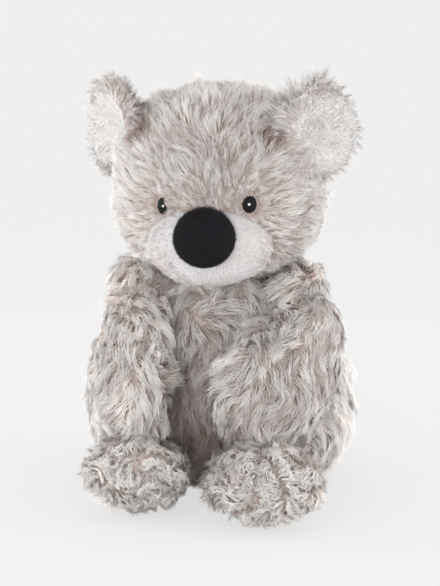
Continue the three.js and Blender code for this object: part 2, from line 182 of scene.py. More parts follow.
def depth_inside(form, points, count=48):
    """How deep points lie below a form's tips, and below zero outside it.

    Each of the rings that cross the form near a point gives its smaller half axis times
    1 - r, where r is the point's distance from the centre in half axes. The most counts. A
    ring that is further off along the spine than it reaches loses by how far that is.
    """
    u = np.linspace(0.02, 0.98, count)
    centre, tangent, aside, deepways, width, deep = rings_of(form, u, 0.0)
    from_centre = points[:, None, :] - centre[None]
    ahead = np.abs(np.einsum("nrk,rk->nr", from_centre, tangent))
    across = np.einsum("nrk,rk->nr", from_centre, aside) / width
    down = np.einsum("nrk,rk->nr", from_centre, deepways) / deep
    gap = np.linalg.norm(np.diff(centre, axis=0), axis=1)
    room = np.maximum(np.append(gap, gap[-1]), np.append(gap[0], gap)) * RING_REACH + RING_MARGIN
    inside = np.minimum(width, deep) * (1 - np.hypot(across, down))
    return (inside - OFF_RING_LOSS * np.maximum(ahead - room, 0)).max(axis=1)


def waves(points, wavelength, seed, count=7):
    """Smooth noise from about -1 to 1 in three channels: sums of sines in random directions."""
    rng = np.random.default_rng(seed)
    heading = unit(rng.normal(size=(count, 3))) * (2 * np.pi / wavelength)
    heading = heading * rng.uniform(0.7, 1.4, (count, 1))
    phase = rng.uniform(0, 2 * np.pi, (count, 3))
    turn = (points @ heading.T)[:, :, None] + phase[None]
    return np.sin(turn).sum(axis=1) / math.sqrt(count)


def smooth(x, low, high):
    """0 below low, 1 above high, and 3s^2 - 2s^3 between them."""
    s = np.clip((x - low) / (high - low), 0, 1)
    return s * s * (3 - 2 * s)


# The forms in place
BODY_WAIST = (0, 3.48 * MM, 75.75 * MM)
BODY_NECK = (0, -6.96 * MM, 152 * MM)
BODY_HALF_WIDTH = 83 * MM
BODY_HALF_DEPTH = 58 * MM
body_form = stuffed(
    [(0, 0, -FLOOR_CUT), BODY_WAIST, BODY_NECK],
    FORMS_FORWARD,
    BODY_HALF_WIDTH,
    BODY_HALF_DEPTH,
    fullness=4.2,
    width_shares=(1.0, 1.02, 0.94, 0.68, 0.4),
    depth_shares=(0.98, 1.03, 0.97, 0.76, 0.5),
)
HEAD_BASE = NECK[2] - HEAD_SUNK
HEAD_HALF_WIDTH = 65.5 * MM
HEAD_HALF_DEPTH = 60.5 * MM
head_form = stuffed(
    [(0, NECK[1], HEAD_BASE + share * HEAD_HEIGHT) for share in (0, 0.5, 1)],
    FORMS_FORWARD,
    HEAD_HALF_WIDTH,
    HEAD_HALF_DEPTH,
    fullness=2.35,
    width_shares=(0.94, 1, 1, 1.02, 1.08),
    depth_shares=(0.94, 1, 1.01, 0.99, 0.96),
)
ARM_LENGTH = 104 * MM
ARM_HALF_WIDTH = 27 * MM
ARM_HALF_DEPTH = 23 * MM
LIMB_FULLNESS = 2.6
ARM_BENDS = {
    "left": ((0.04, 0.4, -0.26), (-0.26, 0.72, -0.72), 1.26),
    "right": ((0.0, 0.4, -0.26), (-0.03, 0.72, -0.78), 0.93),
}


def arm_form_of(name):
    """The arm of one side: shoulder, elbow and hand, wider and less deep where it is pressed."""
    elbow, hand, press = ARM_BENDS[name]
    shoulder = pivot(f"arm_lift_{name}")

    def bend(shares):
        """A place off the shoulder, by shares of the arm's length."""
        out, front, up = shares
        return shoulder + ARM_LENGTH * np.array([SIDES[name] * out, -front, up])

    return stuffed(
        [shoulder, bend(elbow), bend(hand)],
        FORMS_FORWARD,
        ARM_HALF_WIDTH * press,
        ARM_HALF_DEPTH / press,
        LIMB_FULLNESS,
        width_shares=(0.94, 0.98, 0.98, 1.04, 1.06),
        depth_shares=(0.96, 1, 1, 1.04, 1.04),
    )


LEG_LENGTH = 86 * MM
FOOT_HEIGHT = 57 * MM
FOOT_HALF = {"left": 38.5 * MM, "right": 36 * MM}
LEG_HEIGHT_SHARES = [0.84, 0.7, 0.7, 0.96, 1]
LEG_REACHES = {"left": (1.0, -0.02), "right": (0.86, -0.03)}


def leg_form_of(name):
    """The leg of one side: it lies on the floor and its height follows its own shares."""
    reach_share, toe_out = LEG_REACHES[name]
    hip = pivot(f"leg_splay_{name}")
    reach = reach_share * LEG_LENGTH
    t = np.linspace(0, 1, len(LEG_HEIGHT_SHARES))
    x = hip[0] + SIDES[name] * toe_out * reach * t
    z = np.array(LEG_HEIGHT_SHARES) * FOOT_HEIGHT / 2 - FLOOR_CUT
    return stuffed(
        np.column_stack([x, hip[1] - reach * t, z]),
        FORMS_UP,
        FOOT_HALF[name],
        FOOT_HEIGHT / 2,
        LIMB_FULLNESS,
        width_shares=(0.72, 0.74, 0.84, 1, 1),
        depth_shares=LEG_HEIGHT_SHARES,
    )


def ball_form(centre, radius):
    """A ball as a stuffed form."""
    poles = [centre - radius * FORMS_UP, centre + radius * FORMS_UP]
    return stuffed(poles, FORMS_FORWARD, radius, radius, fullness=2)


SHOULDER_HALF = 25 * MM
HIP_HALF = 27 * MM
shoulder_forms = {n: ball_form(pivot(f"arm_lift_{n}"), SHOULDER_HALF) for n in SIDES}
hip_forms = {n: ball_form(pivot(f"leg_splay_{n}"), HIP_HALF) for n in SIDES}
arm_forms = {name: arm_form_of(name) for name in SIDES}
leg_forms = {name: leg_form_of(name) for name in SIDES}


def depth_in_any(forms, points):
    """How deep points lie below the tips of the form that holds them best."""
    return np.max([depth_inside(form, points) for form in forms], axis=0)


# Meshes
def put_mesh(name, points, loops, sizes, material, uv=None, normals=None):
    """A mesh from whole arrays: points, the corners of all faces in a row, and face sizes."""
    mesh = bpy.data.meshes.new(name)
    mesh.vertices.add(len(points))
    mesh.vertices.foreach_set("co", np.asarray(points, np.float32).ravel())
    mesh.loops.add(len(loops))
    mesh.loops.foreach_set("vertex_index", np.asarray(loops, np.int32))
    mesh.polygons.add(len(sizes))
    starts = np.concatenate([[0], np.cumsum(sizes)[:-1]])
    mesh.polygons.foreach_set("loop_start", starts.astype(np.int32))
    if uv is not None:
        layer = mesh.uv_layers.new(name="OFBake", do_init=False)
        layer.data.foreach_set("uv", np.asarray(uv, np.float32).ravel())
    mesh.update(calc_edges=True)
    mesh.validate()
    mesh.shade_smooth()
    if normals is not None:
        layer = mesh.attributes.new("custom_normal", "FLOAT_VECTOR", "CORNER")
        layer.data.foreach_set("vector", np.asarray(normals, np.float32).ravel())
    mesh.materials.append(material)
    made = bpy.data.objects.new(name, mesh)
    bpy.context.scene.collection.objects.link(made)
    return made


def closed_grid(rows, segments):
    """Corners and sizes of the faces of a closed surface: rows of faces between two ends."""
    k = np.arange(segments)
    following = (k + 1) % segments
    first = np.column_stack([np.zeros(segments, int), 1 + following, 1 + k])
    near = 1 + segments * np.arange(rows - 2)[:, None]
    far = near + segments
    quads = np.stack([near + k, near + following, far + following, far + k])
    last_ring = 1 + segments * (rows - 2)
    end = last_ring + segments
    last = np.column_stack([last_ring + k, last_ring + following, np.full(segments, end)])
    quads = quads.reshape(4, -1).T
    loops = np.concatenate([first.ravel(), quads.ravel(), last.ravel()])
    sizes = np.concatenate([np.full(segments, 3), np.full(len(quads), 4), np.full(segments, 3)])
    return loops, sizes


def stuffed_cloth(name, forms, depth, material, rings=36, segments=56, pressed=None):
    """The backing cloth of stuffed forms, closed round each, and pressed into shape if asked."""
    u = np.arange(1, rings) / rings
    v = np.arange(segments) / segments
    grid_u, grid_v = np.meshgrid(u, v, indexing="ij")
    points = []
    for form in forms:
        ends = skin(form, np.array([0.0, 1.0]), np.zeros(2), depth)
        points += [ends[:1], skin(form, grid_u.ravel(), grid_v.ravel(), depth), ends[1:]]
    points = np.vstack(points)
    if pressed:
        points = pressed(points)
    loops, sizes = closed_grid(rings, segments)
    per = len(points) // len(forms)
    loops = (loops[None, :] + per * np.arange(len(forms))[:, None]).ravel()
    return put_mesh(name, points, loops, np.tile(sizes, len(forms)), material)


STRAND_FLATNESS = 0.6
TONE_COLUMNS = 256


def strand_mesh(name, paths, radii, tones, facing, material, own_normal):
    """Tapered strands of three sides, closed at the root and drawn to a point at the tip.

    paths has the shape (strands, rings + 1, 3) and radii (strands, rings). At each ring the
    corners are at 90, 210 and 330 degrees in the plane across the strand, and it is flattened
    towards the cloth. The map runs from 0 at the root to 1 at the tip, and across it a strand
    fills a narrow column whose place is its tone. Light falls on the two upper sides of a
    strand mostly as it does on the cloth that it grows from, so that a pile shades softly. On
    the under side of a strand that lies flat it falls as on the back of that cloth.
    """
    count, rings = radii.shape
    tangent = unit(np.gradient(paths, axis=1))[:, :rings]
    aside = unit(np.cross(tangent, facing[:, None, :]))
    upward = np.cross(aside, tangent)
    turn = np.radians([90.0, 210.0, 330.0])
    cosine = np.cos(turn)[None, None, :, None]
    sine = np.sin(turn)[None, None, :, None]
    offset = aside[:, :, None] * cosine + STRAND_FLATNESS * upward[:, :, None] * sine
    corners = paths[:, :rings, None] + offset * radii[:, :, None, None]
    points = np.concatenate([corners.reshape(count, rings * 3, 3), paths[:, rings:]], axis=1)
    outer = aside[:, :, None] * cosine + upward[:, :, None] * sine
    at_tip = outer[:, -1] + np.roll(outer[:, -1], -1, axis=1)
    outer = np.concatenate([outer.reshape(count, rings * 3, 3), at_tip], axis=1)
    per = rings * 3 + 1
    k = np.arange(3)
    following = (k + 1) % 3
    near = 3 * np.arange(rings - 1)[:, None]
    quads = np.stack([near + following, near + k, near + 3 + k, near + 3 + following])
    quads = quads.reshape(4, -1).T
    last = 3 * (rings - 1)
    tips = np.column_stack([last + following, last + k, np.full(3, per - 1)])
    one = np.concatenate([[0, 1, 2], quads.ravel(), tips.ravel()])
    one_sizes = np.concatenate([[3], np.full(len(quads), 4), np.full(3, 3)])
    loops = (one[None, :] + per * np.arange(count)[:, None]).ravel()
    tips[:, 2] += k
    shaded = outer[:, np.concatenate([[0, 1, 2], quads.ravel(), tips.ravel()])]
    below = np.array([False, True, False])
    under = [np.zeros(3, bool), np.tile(np.repeat(below, 4), rings - 1), np.repeat(below, 3)]
    ring = np.minimum(one // 3, rings - 1)
    flatness = np.clip((upward * facing[:, None, :]).sum(2), 0, 1)[:, ring]
    over = np.where(np.concatenate(under)[None, :], 1 - 2 * flatness, 1.0)
    cloth = (1 - own_normal) * over[:, :, None] * facing[:, None, :]
    soft = unit(own_normal * shaded + cloth).reshape(-1, 3)
    along = np.append(np.repeat(np.arange(rings) / rings, 3), 1.0)
    column = np.append(np.tile([0.0, 0.5, 1.0], rings), 0.5) / TONE_COLUMNS
    uv = np.empty((count, per, 2))
    uv[:, :, 0] = along[None, :]
    uv[:, :, 1] = tones[:, None] * (1 - 1 / TONE_COLUMNS) + column[None, :]
    uv = uv.reshape(-1, 2)[loops]
    sizes = np.tile(one_sizes, count)
    return put_mesh(name, points.reshape(-1, 3), loops, sizes, material, uv, soft)


# Pile
ROOT_SHIFT = 0.45
END_GAP = 0.0005


def scattered(form, depth, spacing, rng):
    """Roots in uneven rows over a form's cloth, spacing apart: their places and normals.

    The rows share the length of the way from end to end, and each row's roots share its
    girth, both moved by up to ROOT_SHIFT of their spacing.
    """
    fine = np.linspace(END_GAP, 1 - END_GAP, 400)
    quarters = np.array([0.0, 0.25, 0.5, 0.75])
    ways = [skin(form, fine, np.full_like(fine, v), depth) for v in quarters]
    steps = np.mean([np.linalg.norm(np.diff(way, axis=0), axis=1) for way in ways], axis=0)
    travelled = np.concatenate([[0], np.cumsum(steps)])
    rows = max(2, int(travelled[-1] / spacing))
    row_u = np.interp((np.arange(rows) + 0.5) / rows * travelled[-1], travelled, fine)
    _, _, _, _, width, deep = rings_of(form, row_u, depth)
    girth = np.pi * (3 * (width + deep) - np.sqrt((3 * width + deep) * (width + 3 * deep)))
    counts = np.maximum((girth / spacing).astype(int), 1)
    row = np.repeat(np.arange(rows), counts)
    place = np.arange(counts.sum()) - np.repeat(np.cumsum(counts) - counts, counts)
    shift = rng.uniform(0, 1, rows)[row]
    v = (place + shift + rng.uniform(-ROOT_SHIFT, ROOT_SHIFT, len(row))) / counts[row]
    moved = np.gradient(row_u)[row] * rng.uniform(-ROOT_SHIFT, ROOT_SHIFT, len(row))
    u = np.clip(row_u[row] + moved, END_GAP, 1 - END_GAP)
    return skin(form, u, v, depth), normals_on(form, u, v, depth)


TUFT_STRETCH = 2.5
TUFT_SWELL = 0.12
TUFT_TONE = 0.02


def tufts(roots, ahead, across, style, rng):
    """Gathers roots into long tufts round random middles, each lying along the comb.

    A root's distance from a middle counts its part along the comb only by 1 / TUFT_STRETCH.
    It belongs to its nearest middle, and where the next one is about as far off, it stands at
    the edge of its tuft, which grows from 0 to 1 as the difference falls from tuft_gap to 0.
    It also returns how far each root lies to the side of its middle, and its tuft's ways.
    """
    count = len(roots)
    number = max(2, int(count * style["tuft_share"]))
    middles = roots[rng.choice(count, number, replace=False)]
    square = (roots**2).sum(1)[:, None] + (middles**2).sum(1)[None] - 2 * roots @ middles.T
    along = (roots * ahead).sum(1)[:, None] - ahead @ middles.T
    square = square - (1 - 1 / TUFT_STRETCH**2) * along**2
    away = np.sqrt(np.maximum(square, 0))
    order = np.argpartition(away, 1, axis=1)[:, :2]
    pair = np.sort(np.take_along_axis(away, order, axis=1), axis=1)
    own = away.argmin(axis=1)
    beside = ((roots - middles[own]) * across).sum(1)
    edge = 1 - smooth(pair[:, 1] - pair[:, 0], 0, style["tuft_gap"])
    lean = rng.normal(0, style["tuft_lean"], number)[own]
    swell = 1 + rng.normal(0, TUFT_SWELL, number)[own]
    shade = rng.normal(0, TUFT_TONE, number)[own]
    return beside, edge, lean, swell, shade


# How a strand rises, runs and leans over
RISE_POWER = 1.8
RUN_POWER = 1.35
GATHER_POWER = 1.5
LIFT_SHARE = 0.7
LEAST_HEIGHT = 0.6 * MM
TIP_TAPER = 0.45

# How the locks and strands of a pile differ
RUFFLE_LENGTH = 18 * MM
EDGE_DIP = 0.25
# Painted light and shade: locks that ruffle higher are lighter, and lower ones darker
RUFFLE_PAINTED_LIGHT = 0.2
STRAND_LENGTHS = (0.82, 1.06)
STRAND_HEIGHTS = (0.75, 1.08)
STRAND_GIRTHS = (0.75, 1.25)
LOCK_TURNS = (0.6, 1.3)
STRAY_LEAN = 0.45
STRAY_HEIGHT = 1.12
LOCK_TONE = 0.025
STRAND_TONE = 0.022


def locks(roots, normals, comb, style, rng):
    """The strands of one lock at each root, as their paths, radii, tones and facings.

    At the share s of its length a strand lies at root + height (1 - (1 - s)^RISE_POWER)
    normal + run comb - run^2 / (2 x round) normal, where run = length s^RUN_POWER, plus
    wave x s sin(2 pi (turns s + phase)) across the comb and LIFT_SHARE x wave x s times the
    cosine of the same angle off the cloth, less droop x s^2 upwards. Its offset from the
    middle of the lock shrinks to the share pinch at the tip, and the lock leans over to the
    middle line of its tuft by gather x s^GATHER_POWER of the way. A tuft is lit as a round one.
    """
    count, per, rings = len(roots), style["strands"], style["rings"]
    ahead = unit(comb - (comb * normals).sum(1, keepdims=True) * normals)
    across = np.cross(normals, ahead)
    beside, edge, tuft_lean, swell, shade = tufts(roots, ahead, across, style, rng)

    def whole(values):
        """The values of locks, repeated for each of their strands."""
        return np.repeat(values, per, axis=0)

    total = count * per
    angle = rng.uniform(0, 2 * np.pi, total)
    away = np.sqrt(rng.uniform(0, 1, total)) * style["spread"]
    offset = (away * np.cos(angle))[:, None] * whole(ahead)
    offset = offset + (away * np.sin(angle))[:, None] * whole(across)
    vary = rng.uniform(1 - style["uneven"], 1 + style["uneven"], count)
    length = whole(style["length"] * style.get("length_share", np.ones(count)) * vary)
    length = length * rng.uniform(*STRAND_LENGTHS, total)
    ruffle = 1 + style["ruffle"] * waves(roots, RUFFLE_LENGTH, 5)[:, 0]
    ruffle = ruffle * swell * (1 - EDGE_DIP * edge)
    height = whole(style["height"] * style.get("height_share", np.ones(count)) * ruffle)
    height = height * rng.uniform(*STRAND_HEIGHTS, total)
    stray = rng.uniform(0, 1, total) < style["strays"]
    lean = rng.normal(0, 1, total) * np.where(stray, STRAY_LEAN, style["fray"])
    height = height * np.where(stray, STRAY_HEIGHT, 1.0)
    s = (np.arange(rings + 1) / rings)[None, :, None]
    lock_lean = whole(rng.normal(0, style["lean"], count) + tuft_lean)
    heading = whole(ahead) + (lean + lock_lean)[:, None] * whole(across)
    heading = unit(heading)[:, None, :]
    run = length[:, None, None] * s**RUN_POWER
    rise = height[:, None, None] * (1 - (1 - s) ** RISE_POWER)
    fall = run**2 / (2 * style["round"])
    phase = whole(rng.uniform(0, 1, count))[:, None, None]
    turns = whole(rng.uniform(*LOCK_TURNS, count) * style["turns"])[:, None, None]
    swing = style["wave"] * s * np.sin(2 * np.pi * (turns * s + phase))
    lift = style["wave"] * LIFT_SHARE * s * np.cos(2 * np.pi * (turns * s + phase))
    up = whole(normals)[:, None, :]
    paths = whole(roots)[:, None, :] + offset[:, None, :] * (1 - (1 - style["pinch"]) * s)
    paths = paths + heading * run + up * (rise - fall + lift)
    paths = paths + whole(across)[:, None, :] * swing
    gathered = -style["gather"] * beside[:, None] * across
    paths = paths + whole(gathered)[:, None, :] * s**GATHER_POWER
    paths = paths - FORMS_UP[None, None, :] * style["droop"] * s**2
    taper = np.linspace(1, TIP_TAPER, rings)[None, :]
    radii = style["radius"] * taper * rng.uniform(*STRAND_GIRTHS, total)[:, None]
    lock_tone = style["tone"] + rng.normal(0, LOCK_TONE, count)
    # Painted shade: locks at the edge of a tuft are darkened, as shade falls between tufts
    painted_edge_shade = style["tuft_shade"] * edge
    lock_tone = whole(lock_tone + shade - painted_edge_shade + RUFFLE_PAINTED_LIGHT * (ruffle - 1))
    tones = np.clip(lock_tone + rng.normal(0, STRAND_TONE, total), 0, 1)
    paths[:, :, 2] = np.maximum(paths[:, :, 2], LEAST_HEIGHT)
    side = np.clip(beside / style["tuft_half"], -1, 1)[:, None]
    facing = unit(style.get("facing", normals) + style["tuft_round"] * side * across)
    return paths, radii, tones, whole(facing)


def pile(names, roots, normals, comb, style, seed, material, split=None):
    """Fur of one style over a set of roots, cut into as many panels as it has names."""
    rng = np.random.default_rng(seed)
    strands = locks(roots, normals, comb, style, rng)
    split = np.zeros(len(roots), int) if split is None else split
    panel = np.repeat(split, style["strands"])
    made = []
    for i, name in enumerate(names):
        parts = (part[panel == i] for part in strands)
        made.append(strand_mesh(name, *parts, material, style["own_normal"]))
    return made


# Materials
def feed(tree, node, entries):
    """Gives the inputs of a node their values, or links them to the outputs given for them."""
    for entry, value in entries.items():
        if isinstance(value, bpy.types.NodeSocket):
            tree.links.new(value, node.inputs[entry])
        else:
            node.inputs[entry].default_value = value


def node_of(tree, kind, entries=(), **settings):
    """A new node of a kind in a tree, with its settings and what its inputs are fed."""
    node = tree.nodes.new(kind)
    for key, value in settings.items():
        setattr(node, key, value)
    feed(tree, node, dict(entries))
    return node


def maths(tree, operation, *terms, kind="ShaderNodeMath"):
    """The output of an operation on numbers, or on vectors by the node kind for them."""
    return node_of(tree, kind, enumerate(terms), operation=operation).outputs[0]


def eased(tree, value, limits):
    """The output of a smooth step of a value between limits."""
    entries = {"Value": value, **limits}
    step = node_of(tree, "ShaderNodeMapRange", entries, interpolation_type="SMOOTHSTEP")
    return step.outputs["Result"]


def mixed_colour(tree, share, first, second):
    """The output of a mix of two colours, with the share of the second."""
    entries = {"Factor": share, "A": first, "B": second}
    return node_of(tree, "ShaderNodeMix", entries, data_type="RGBA").outputs["Result"]


def mixed_shader(tree, share, first, second):
    """The output of a mix of two shaders, with the share of the second."""
    return node_of(tree, "ShaderNodeMixShader", {0: share, 1: first, 2: second}).outputs[0]


def new_material(name, finish):
    """A new material with its tree and its main shader, which gets the finish's values."""
    material = bpy.data.materials.new(name)
    material.use_nodes = True
    tree = material.node_tree
    shader = tree.nodes["Principled BSDF"]
    feed(tree, shader, finish)
    return material, tree, shader


def opaque(colour):
    """A colour with its fourth channel, which is 1."""
    return *colour, 1


MATT = 0.9
BUMP_HEIGHT = 0.5 * MM
# How much green and blue fall in dark tones, so that painted shade is warm
DARK_WARMTH = np.array([0, 0.4, 0.48])
MIDDLE_TONE = 0.5
ROOT_FADES_AT = 0.5
TIP_STARTS_AT = 0.45


def pile_group():
    """Shader group: a pile's colour from root to tip, darkened or lightened by its tone.

    Where the tone is dark, in painted shade and in darker locks alike, green and blue fall
    faster than red, so that these shades are warm.
    """
    group = bpy.data.node_groups.new("pile colour", "ShaderNodeTree")
    sockets = group.interface
    for name in ("Root", "Middle", "Tip"):
        sockets.new_socket(name, in_out="INPUT", socket_type="NodeSocketColor")
    for name in ("Along", "Tone", "Contrast"):
        sockets.new_socket(name, in_out="INPUT", socket_type="NodeSocketFloat")
    sockets.new_socket("Colour", in_out="OUTPUT", socket_type="NodeSocketColor")
    enter = node_of(group, "NodeGroupInput").outputs
    vector = {"kind": "ShaderNodeVectorMath"}
    lower = eased(group, enter["Along"], {"From Max": ROOT_FADES_AT})
    upper = eased(group, enter["Along"], {"From Min": TIP_STARTS_AT})
    colour = mixed_colour(group, lower, enter["Root"], enter["Middle"])
    colour = mixed_colour(group, upper, colour, enter["Tip"])
    centred = maths(group, "SUBTRACT", enter["Tone"], MIDDLE_TONE)
    strength = maths(group, "MULTIPLY_ADD", centred, enter["Contrast"], 1.0)
    entries = {0: colour, "Scale": strength}
    light = node_of(group, "ShaderNodeVectorMath", entries, operation="SCALE").outputs[0]
    shade = maths(group, "MINIMUM", strength, 1.0)
    warmth = maths(group, "MULTIPLY_ADD", shade, DARK_WARMTH, 1 - DARK_WARMTH, **vector)
    warm = maths(group, "MULTIPLY", light, warmth, **vector)
    node_of(group, "NodeGroupOutput", {"Colour": warm})
    return group


pile_colour = pile_group()


def pile_material(name, root, middle, tip, contrast, through, sheen=0.25):
    """Fur of one finish: its colour follows the strand's own map, and light gets through it."""
    finish = {"Roughness": MATT, "Specular IOR Level": 0.1, "Sheen Weight": sheen}
    material, tree, shader = new_material(name, {**finish, "Sheen Roughness": 0.5})
    place = node_of(tree, "ShaderNodeUVMap", uv_map="OFBake").outputs["UV"]
    apart = node_of(tree, "ShaderNodeSeparateXYZ", {0: place}).outputs
    entries = {"Root": opaque(root), "Middle": opaque(middle), "Tip": opaque(tip)}
    entries.update(Along=apart["X"], Tone=apart["Y"], Contrast=contrast)
    colour = node_of(tree, "ShaderNodeGroup", entries, node_tree=pile_colour).outputs["Colour"]
    feed(tree, shader, {"Base Color": colour})
    behind = node_of(tree, "ShaderNodeBsdfTranslucent", {"Color": colour}).outputs[0]
    both = mixed_shader(tree, through, shader.outputs[0], behind)
    feed(tree, tree.nodes["Material Output"], {"Surface": both})
    return material


def cloth_material(name, colour, variation, scale, roughness=MATT, bump=0.2, drawn=1.0):
    """Knitted or stitched cloth: a mottled colour with a fine bump, drawn out down the toy."""
    finish = {"Roughness": roughness, "Specular IOR Level": 0.12}
    material, tree, shader = new_material(name, finish)
    place = node_of(tree, "ShaderNodeTexCoord").outputs["Object"]
    entries = {"Vector": place, "Scale": (1, 1, 1 / drawn)}
    place = node_of(tree, "ShaderNodeMapping", entries).outputs["Vector"]
    entries = {"Vector": place, "Scale": scale, "Detail": 4}
    noise = node_of(tree, "ShaderNodeTexNoise", entries).outputs["Fac"]
    dark = opaque(channel * (1 - variation) for channel in colour)
    pale = opaque(min(channel * (1 + variation), 1) for channel in colour)
    entries = {"Strength": bump, "Distance": BUMP_HEIGHT, "Height": noise}
    raised = node_of(tree, "ShaderNodeBump", entries).outputs["Normal"]
    mottled = mixed_colour(tree, noise, dark, pale)
    feed(tree, shader, {"Base Color": mottled, "Normal": raised})
    return material


grey_pile = pile_material(
    "grey pile",
    root=(0.68, 0.575, 0.53),
    middle=(0.93, 0.88, 0.842),
    tip=(0.97, 0.937, 0.91),
    contrast=1.15,
    through=0.3,
)
curly_pile = pile_material(
    "curly pile",
    root=(0.53, 0.435, 0.39),
    middle=(0.93, 0.885, 0.85),
    tip=(0.99, 0.962, 0.935),
    contrast=1.2,
    through=0.3,
)
ear_pile = pile_material(
    "ear pile",
    root=(0.72, 0.63, 0.59),
    middle=(0.92, 0.88, 0.85),
    tip=(0.97, 0.945, 0.92),
    contrast=1.15,
    through=0.3,
)
muzzle_pile = pile_material(
    "muzzle pile",
    root=(0.74, 0.72, 0.715),
    middle=(0.78, 0.76, 0.755),
    tip=(0.82, 0.805, 0.8),
    contrast=0.5,
    through=0.1,
    sheen=0.0,
)
lining_pile = pile_material(
    "lining pile",
    root=(0.68, 0.66, 0.65),
    middle=(0.73, 0.71, 0.7),
    tip=(0.78, 0.76, 0.75),
    contrast=0.1,
    through=0.1,
    sheen=0.0,
)
velour_pile = pile_material(
    "velour pile",
    root=(0.009, 0.008, 0.01),
    middle=(0.012, 0.01, 0.013),
    tip=(0.02, 0.017, 0.021),
    contrast=4,
    through=0,
    sheen=0.1,
)
grey_backing = cloth_material("grey backing", (0.44, 0.37, 0.34), 0.45, 900, bump=0.5, drawn=6)
white_backing = cloth_material("white backing", (0.55, 0.535, 0.525), 0.04, 500)
nose_velour = cloth_material("black velour", (0.01, 0.0085, 0.011), 0.4, 900, bump=0.3)
eye_thread = cloth_material("black thread", (0.008, 0.007, 0.007), 0.4, 700, roughness=0.45)
glint_thread = cloth_material("pale thread", (0.62, 0.61, 0.59), 0.1, 700, roughness=0.5)


# The face
RAY_LENGTH = 0.12
RAY_PLACES = 1201


def ray_exit(form, start, towards):
    """Where a line from inside a form leaves it: the last of fine steps that is inside."""
    steps = np.linspace(0, RAY_LENGTH, RAY_PLACES)
    points = start[None] + steps[:, None] * unit(towards)[None]
    inside = depth_inside(form, points, 160) > 0
    return points[np.flatnonzero(inside)[-1]]


MUZZLE_UP = 28 * MM
FACE = ray_exit(head_form, NECK + MUZZLE_UP * FORMS_UP, FORMS_FORWARD)
MUZZLE_REACH = 12 * MM
MUZZLE_SET_BACK = 15 * MM
MUZZLE_HALF_WIDTH = 37 * MM
MUZZLE_HALF_HEIGHT = 26 * MM
muzzle_back = FACE - FORMS_FORWARD * (2 * MUZZLE_SET_BACK + MUZZLE_REACH)
muzzle_form = stuffed(
    [muzzle_back, FACE + FORMS_FORWARD * MUZZLE_REACH],
    FORMS_UP,
    MUZZLE_HALF_WIDTH,
    MUZZLE_HALF_HEIGHT,
    fullness=2.5,
)
NOSE_TILT = math.radians(16)
NOSE_FACING = np.array([0.0, -math.cos(NOSE_TILT), math.sin(NOSE_TILT)])
NOSE_UP = 9 * MM
NOSE_SUNK = 11 * MM
NOSE_RISE = 6.5 * MM
NOSE_HALF_WIDTH = 19.0 * MM
NOSE_HALF_HEIGHT = 18.2 * MM
NOSE_START = FACE - MUZZLE_SET_BACK * FORMS_FORWARD + NOSE_UP * FORMS_UP
NOSE_SEAT = ray_exit(muzzle_form, NOSE_START, FORMS_FORWARD)
nose_form = stuffed(
    [NOSE_SEAT - NOSE_SUNK * NOSE_FACING, NOSE_SEAT + NOSE_RISE * NOSE_FACING],
    FORMS_UP,
    NOSE_HALF_WIDTH,
    NOSE_HALF_HEIGHT,
    fullness=2.3,
)


def round_z(vector, degrees):
    """A vector turned about the vertical."""
    c, s = math.cos(math.radians(degrees)), math.sin(math.radians(degrees))
    x, y, z = vector
    return np.array([c * x - s * y, s * x + c * y, z])


EYE_HEADING = {"left": 26, "right": 27.5}
EYE_PIT = 4 * MM
EYE_RISE = 1.2 * MM
EYE_SUNK = 6.3 * MM
EYE_HALF_WIDTH = 4.8 * MM
EYE_HALF_HEIGHT = 5.7 * MM
GLINT_HALF = 1.3 * MM
GLINT_RISE = 0.5 * MM
GLINT_INWARDS = 0.9 * MM
GLINT_UP = 0.3 * MM
EYE_UP = {"left": 26.5 * MM, "right": 24.2 * MM}
EYE_TOWARDS = {n: round_z(FORMS_FORWARD, s * EYE_HEADING[n]) for n, s in SIDES.items()}


def eye_place(name):
    """The place of an eye: in a pit under the head's skin, where a level line from inside ends."""
    start = NECK + (MUZZLE_UP + EYE_UP[name]) * FORMS_UP
    return ray_exit(head_form, start, EYE_TOWARDS[name]) - EYE_PIT * EYE_TOWARDS[name]


EYES = {name: eye_place(name) for name in SIDES}
GLINTS = {n: EYES[n] + np.array([-s * GLINT_INWARDS, 0, GLINT_UP]) for n, s in SIDES.items()}


def eye_form(name):
    """The oval dome of an eye."""
    ends = [EYES[name] - EYE_SUNK * EYE_TOWARDS[name], EYES[name] + EYE_RISE * EYE_TOWARDS[name]]
    return stuffed(ends, FORMS_UP, EYE_HALF_WIDTH, EYE_HALF_HEIGHT, fullness=2.8)


def glint_form(name):
    """The pale dot on an eye, a little prouder than its dome."""
    ends = [GLINTS[name], GLINTS[name] + (EYE_RISE + GLINT_RISE) * EYE_TOWARDS[name]]
    return stuffed(ends, FORMS_UP, GLINT_HALF, GLINT_HALF, fullness=2.2)


# Ears
EAR_HALF = 26.5 * MM
EAR_BACK = 3.5 * MM
EAR_FRONT = 5.5 * MM
EAR_DISH = 6 * MM
EAR_LINING_HALF = 22 * MM
EAR_LINING_SHIFT = 6 * MM
EAR_RIM = (14 * MM, 26 * MM)
EAR_SPACING = 2.2 * MM
EAR_LINING_SPACING = 1.1 * MM
EAR_PAINTED_SHADE = {"left": 0.0, "right": 0.12}
EAR_UP_SHARE = 0.8
EAR_PLACES = {"left": (0.93, 0.24, 36), "right": (0.97, 0.1, 46)}


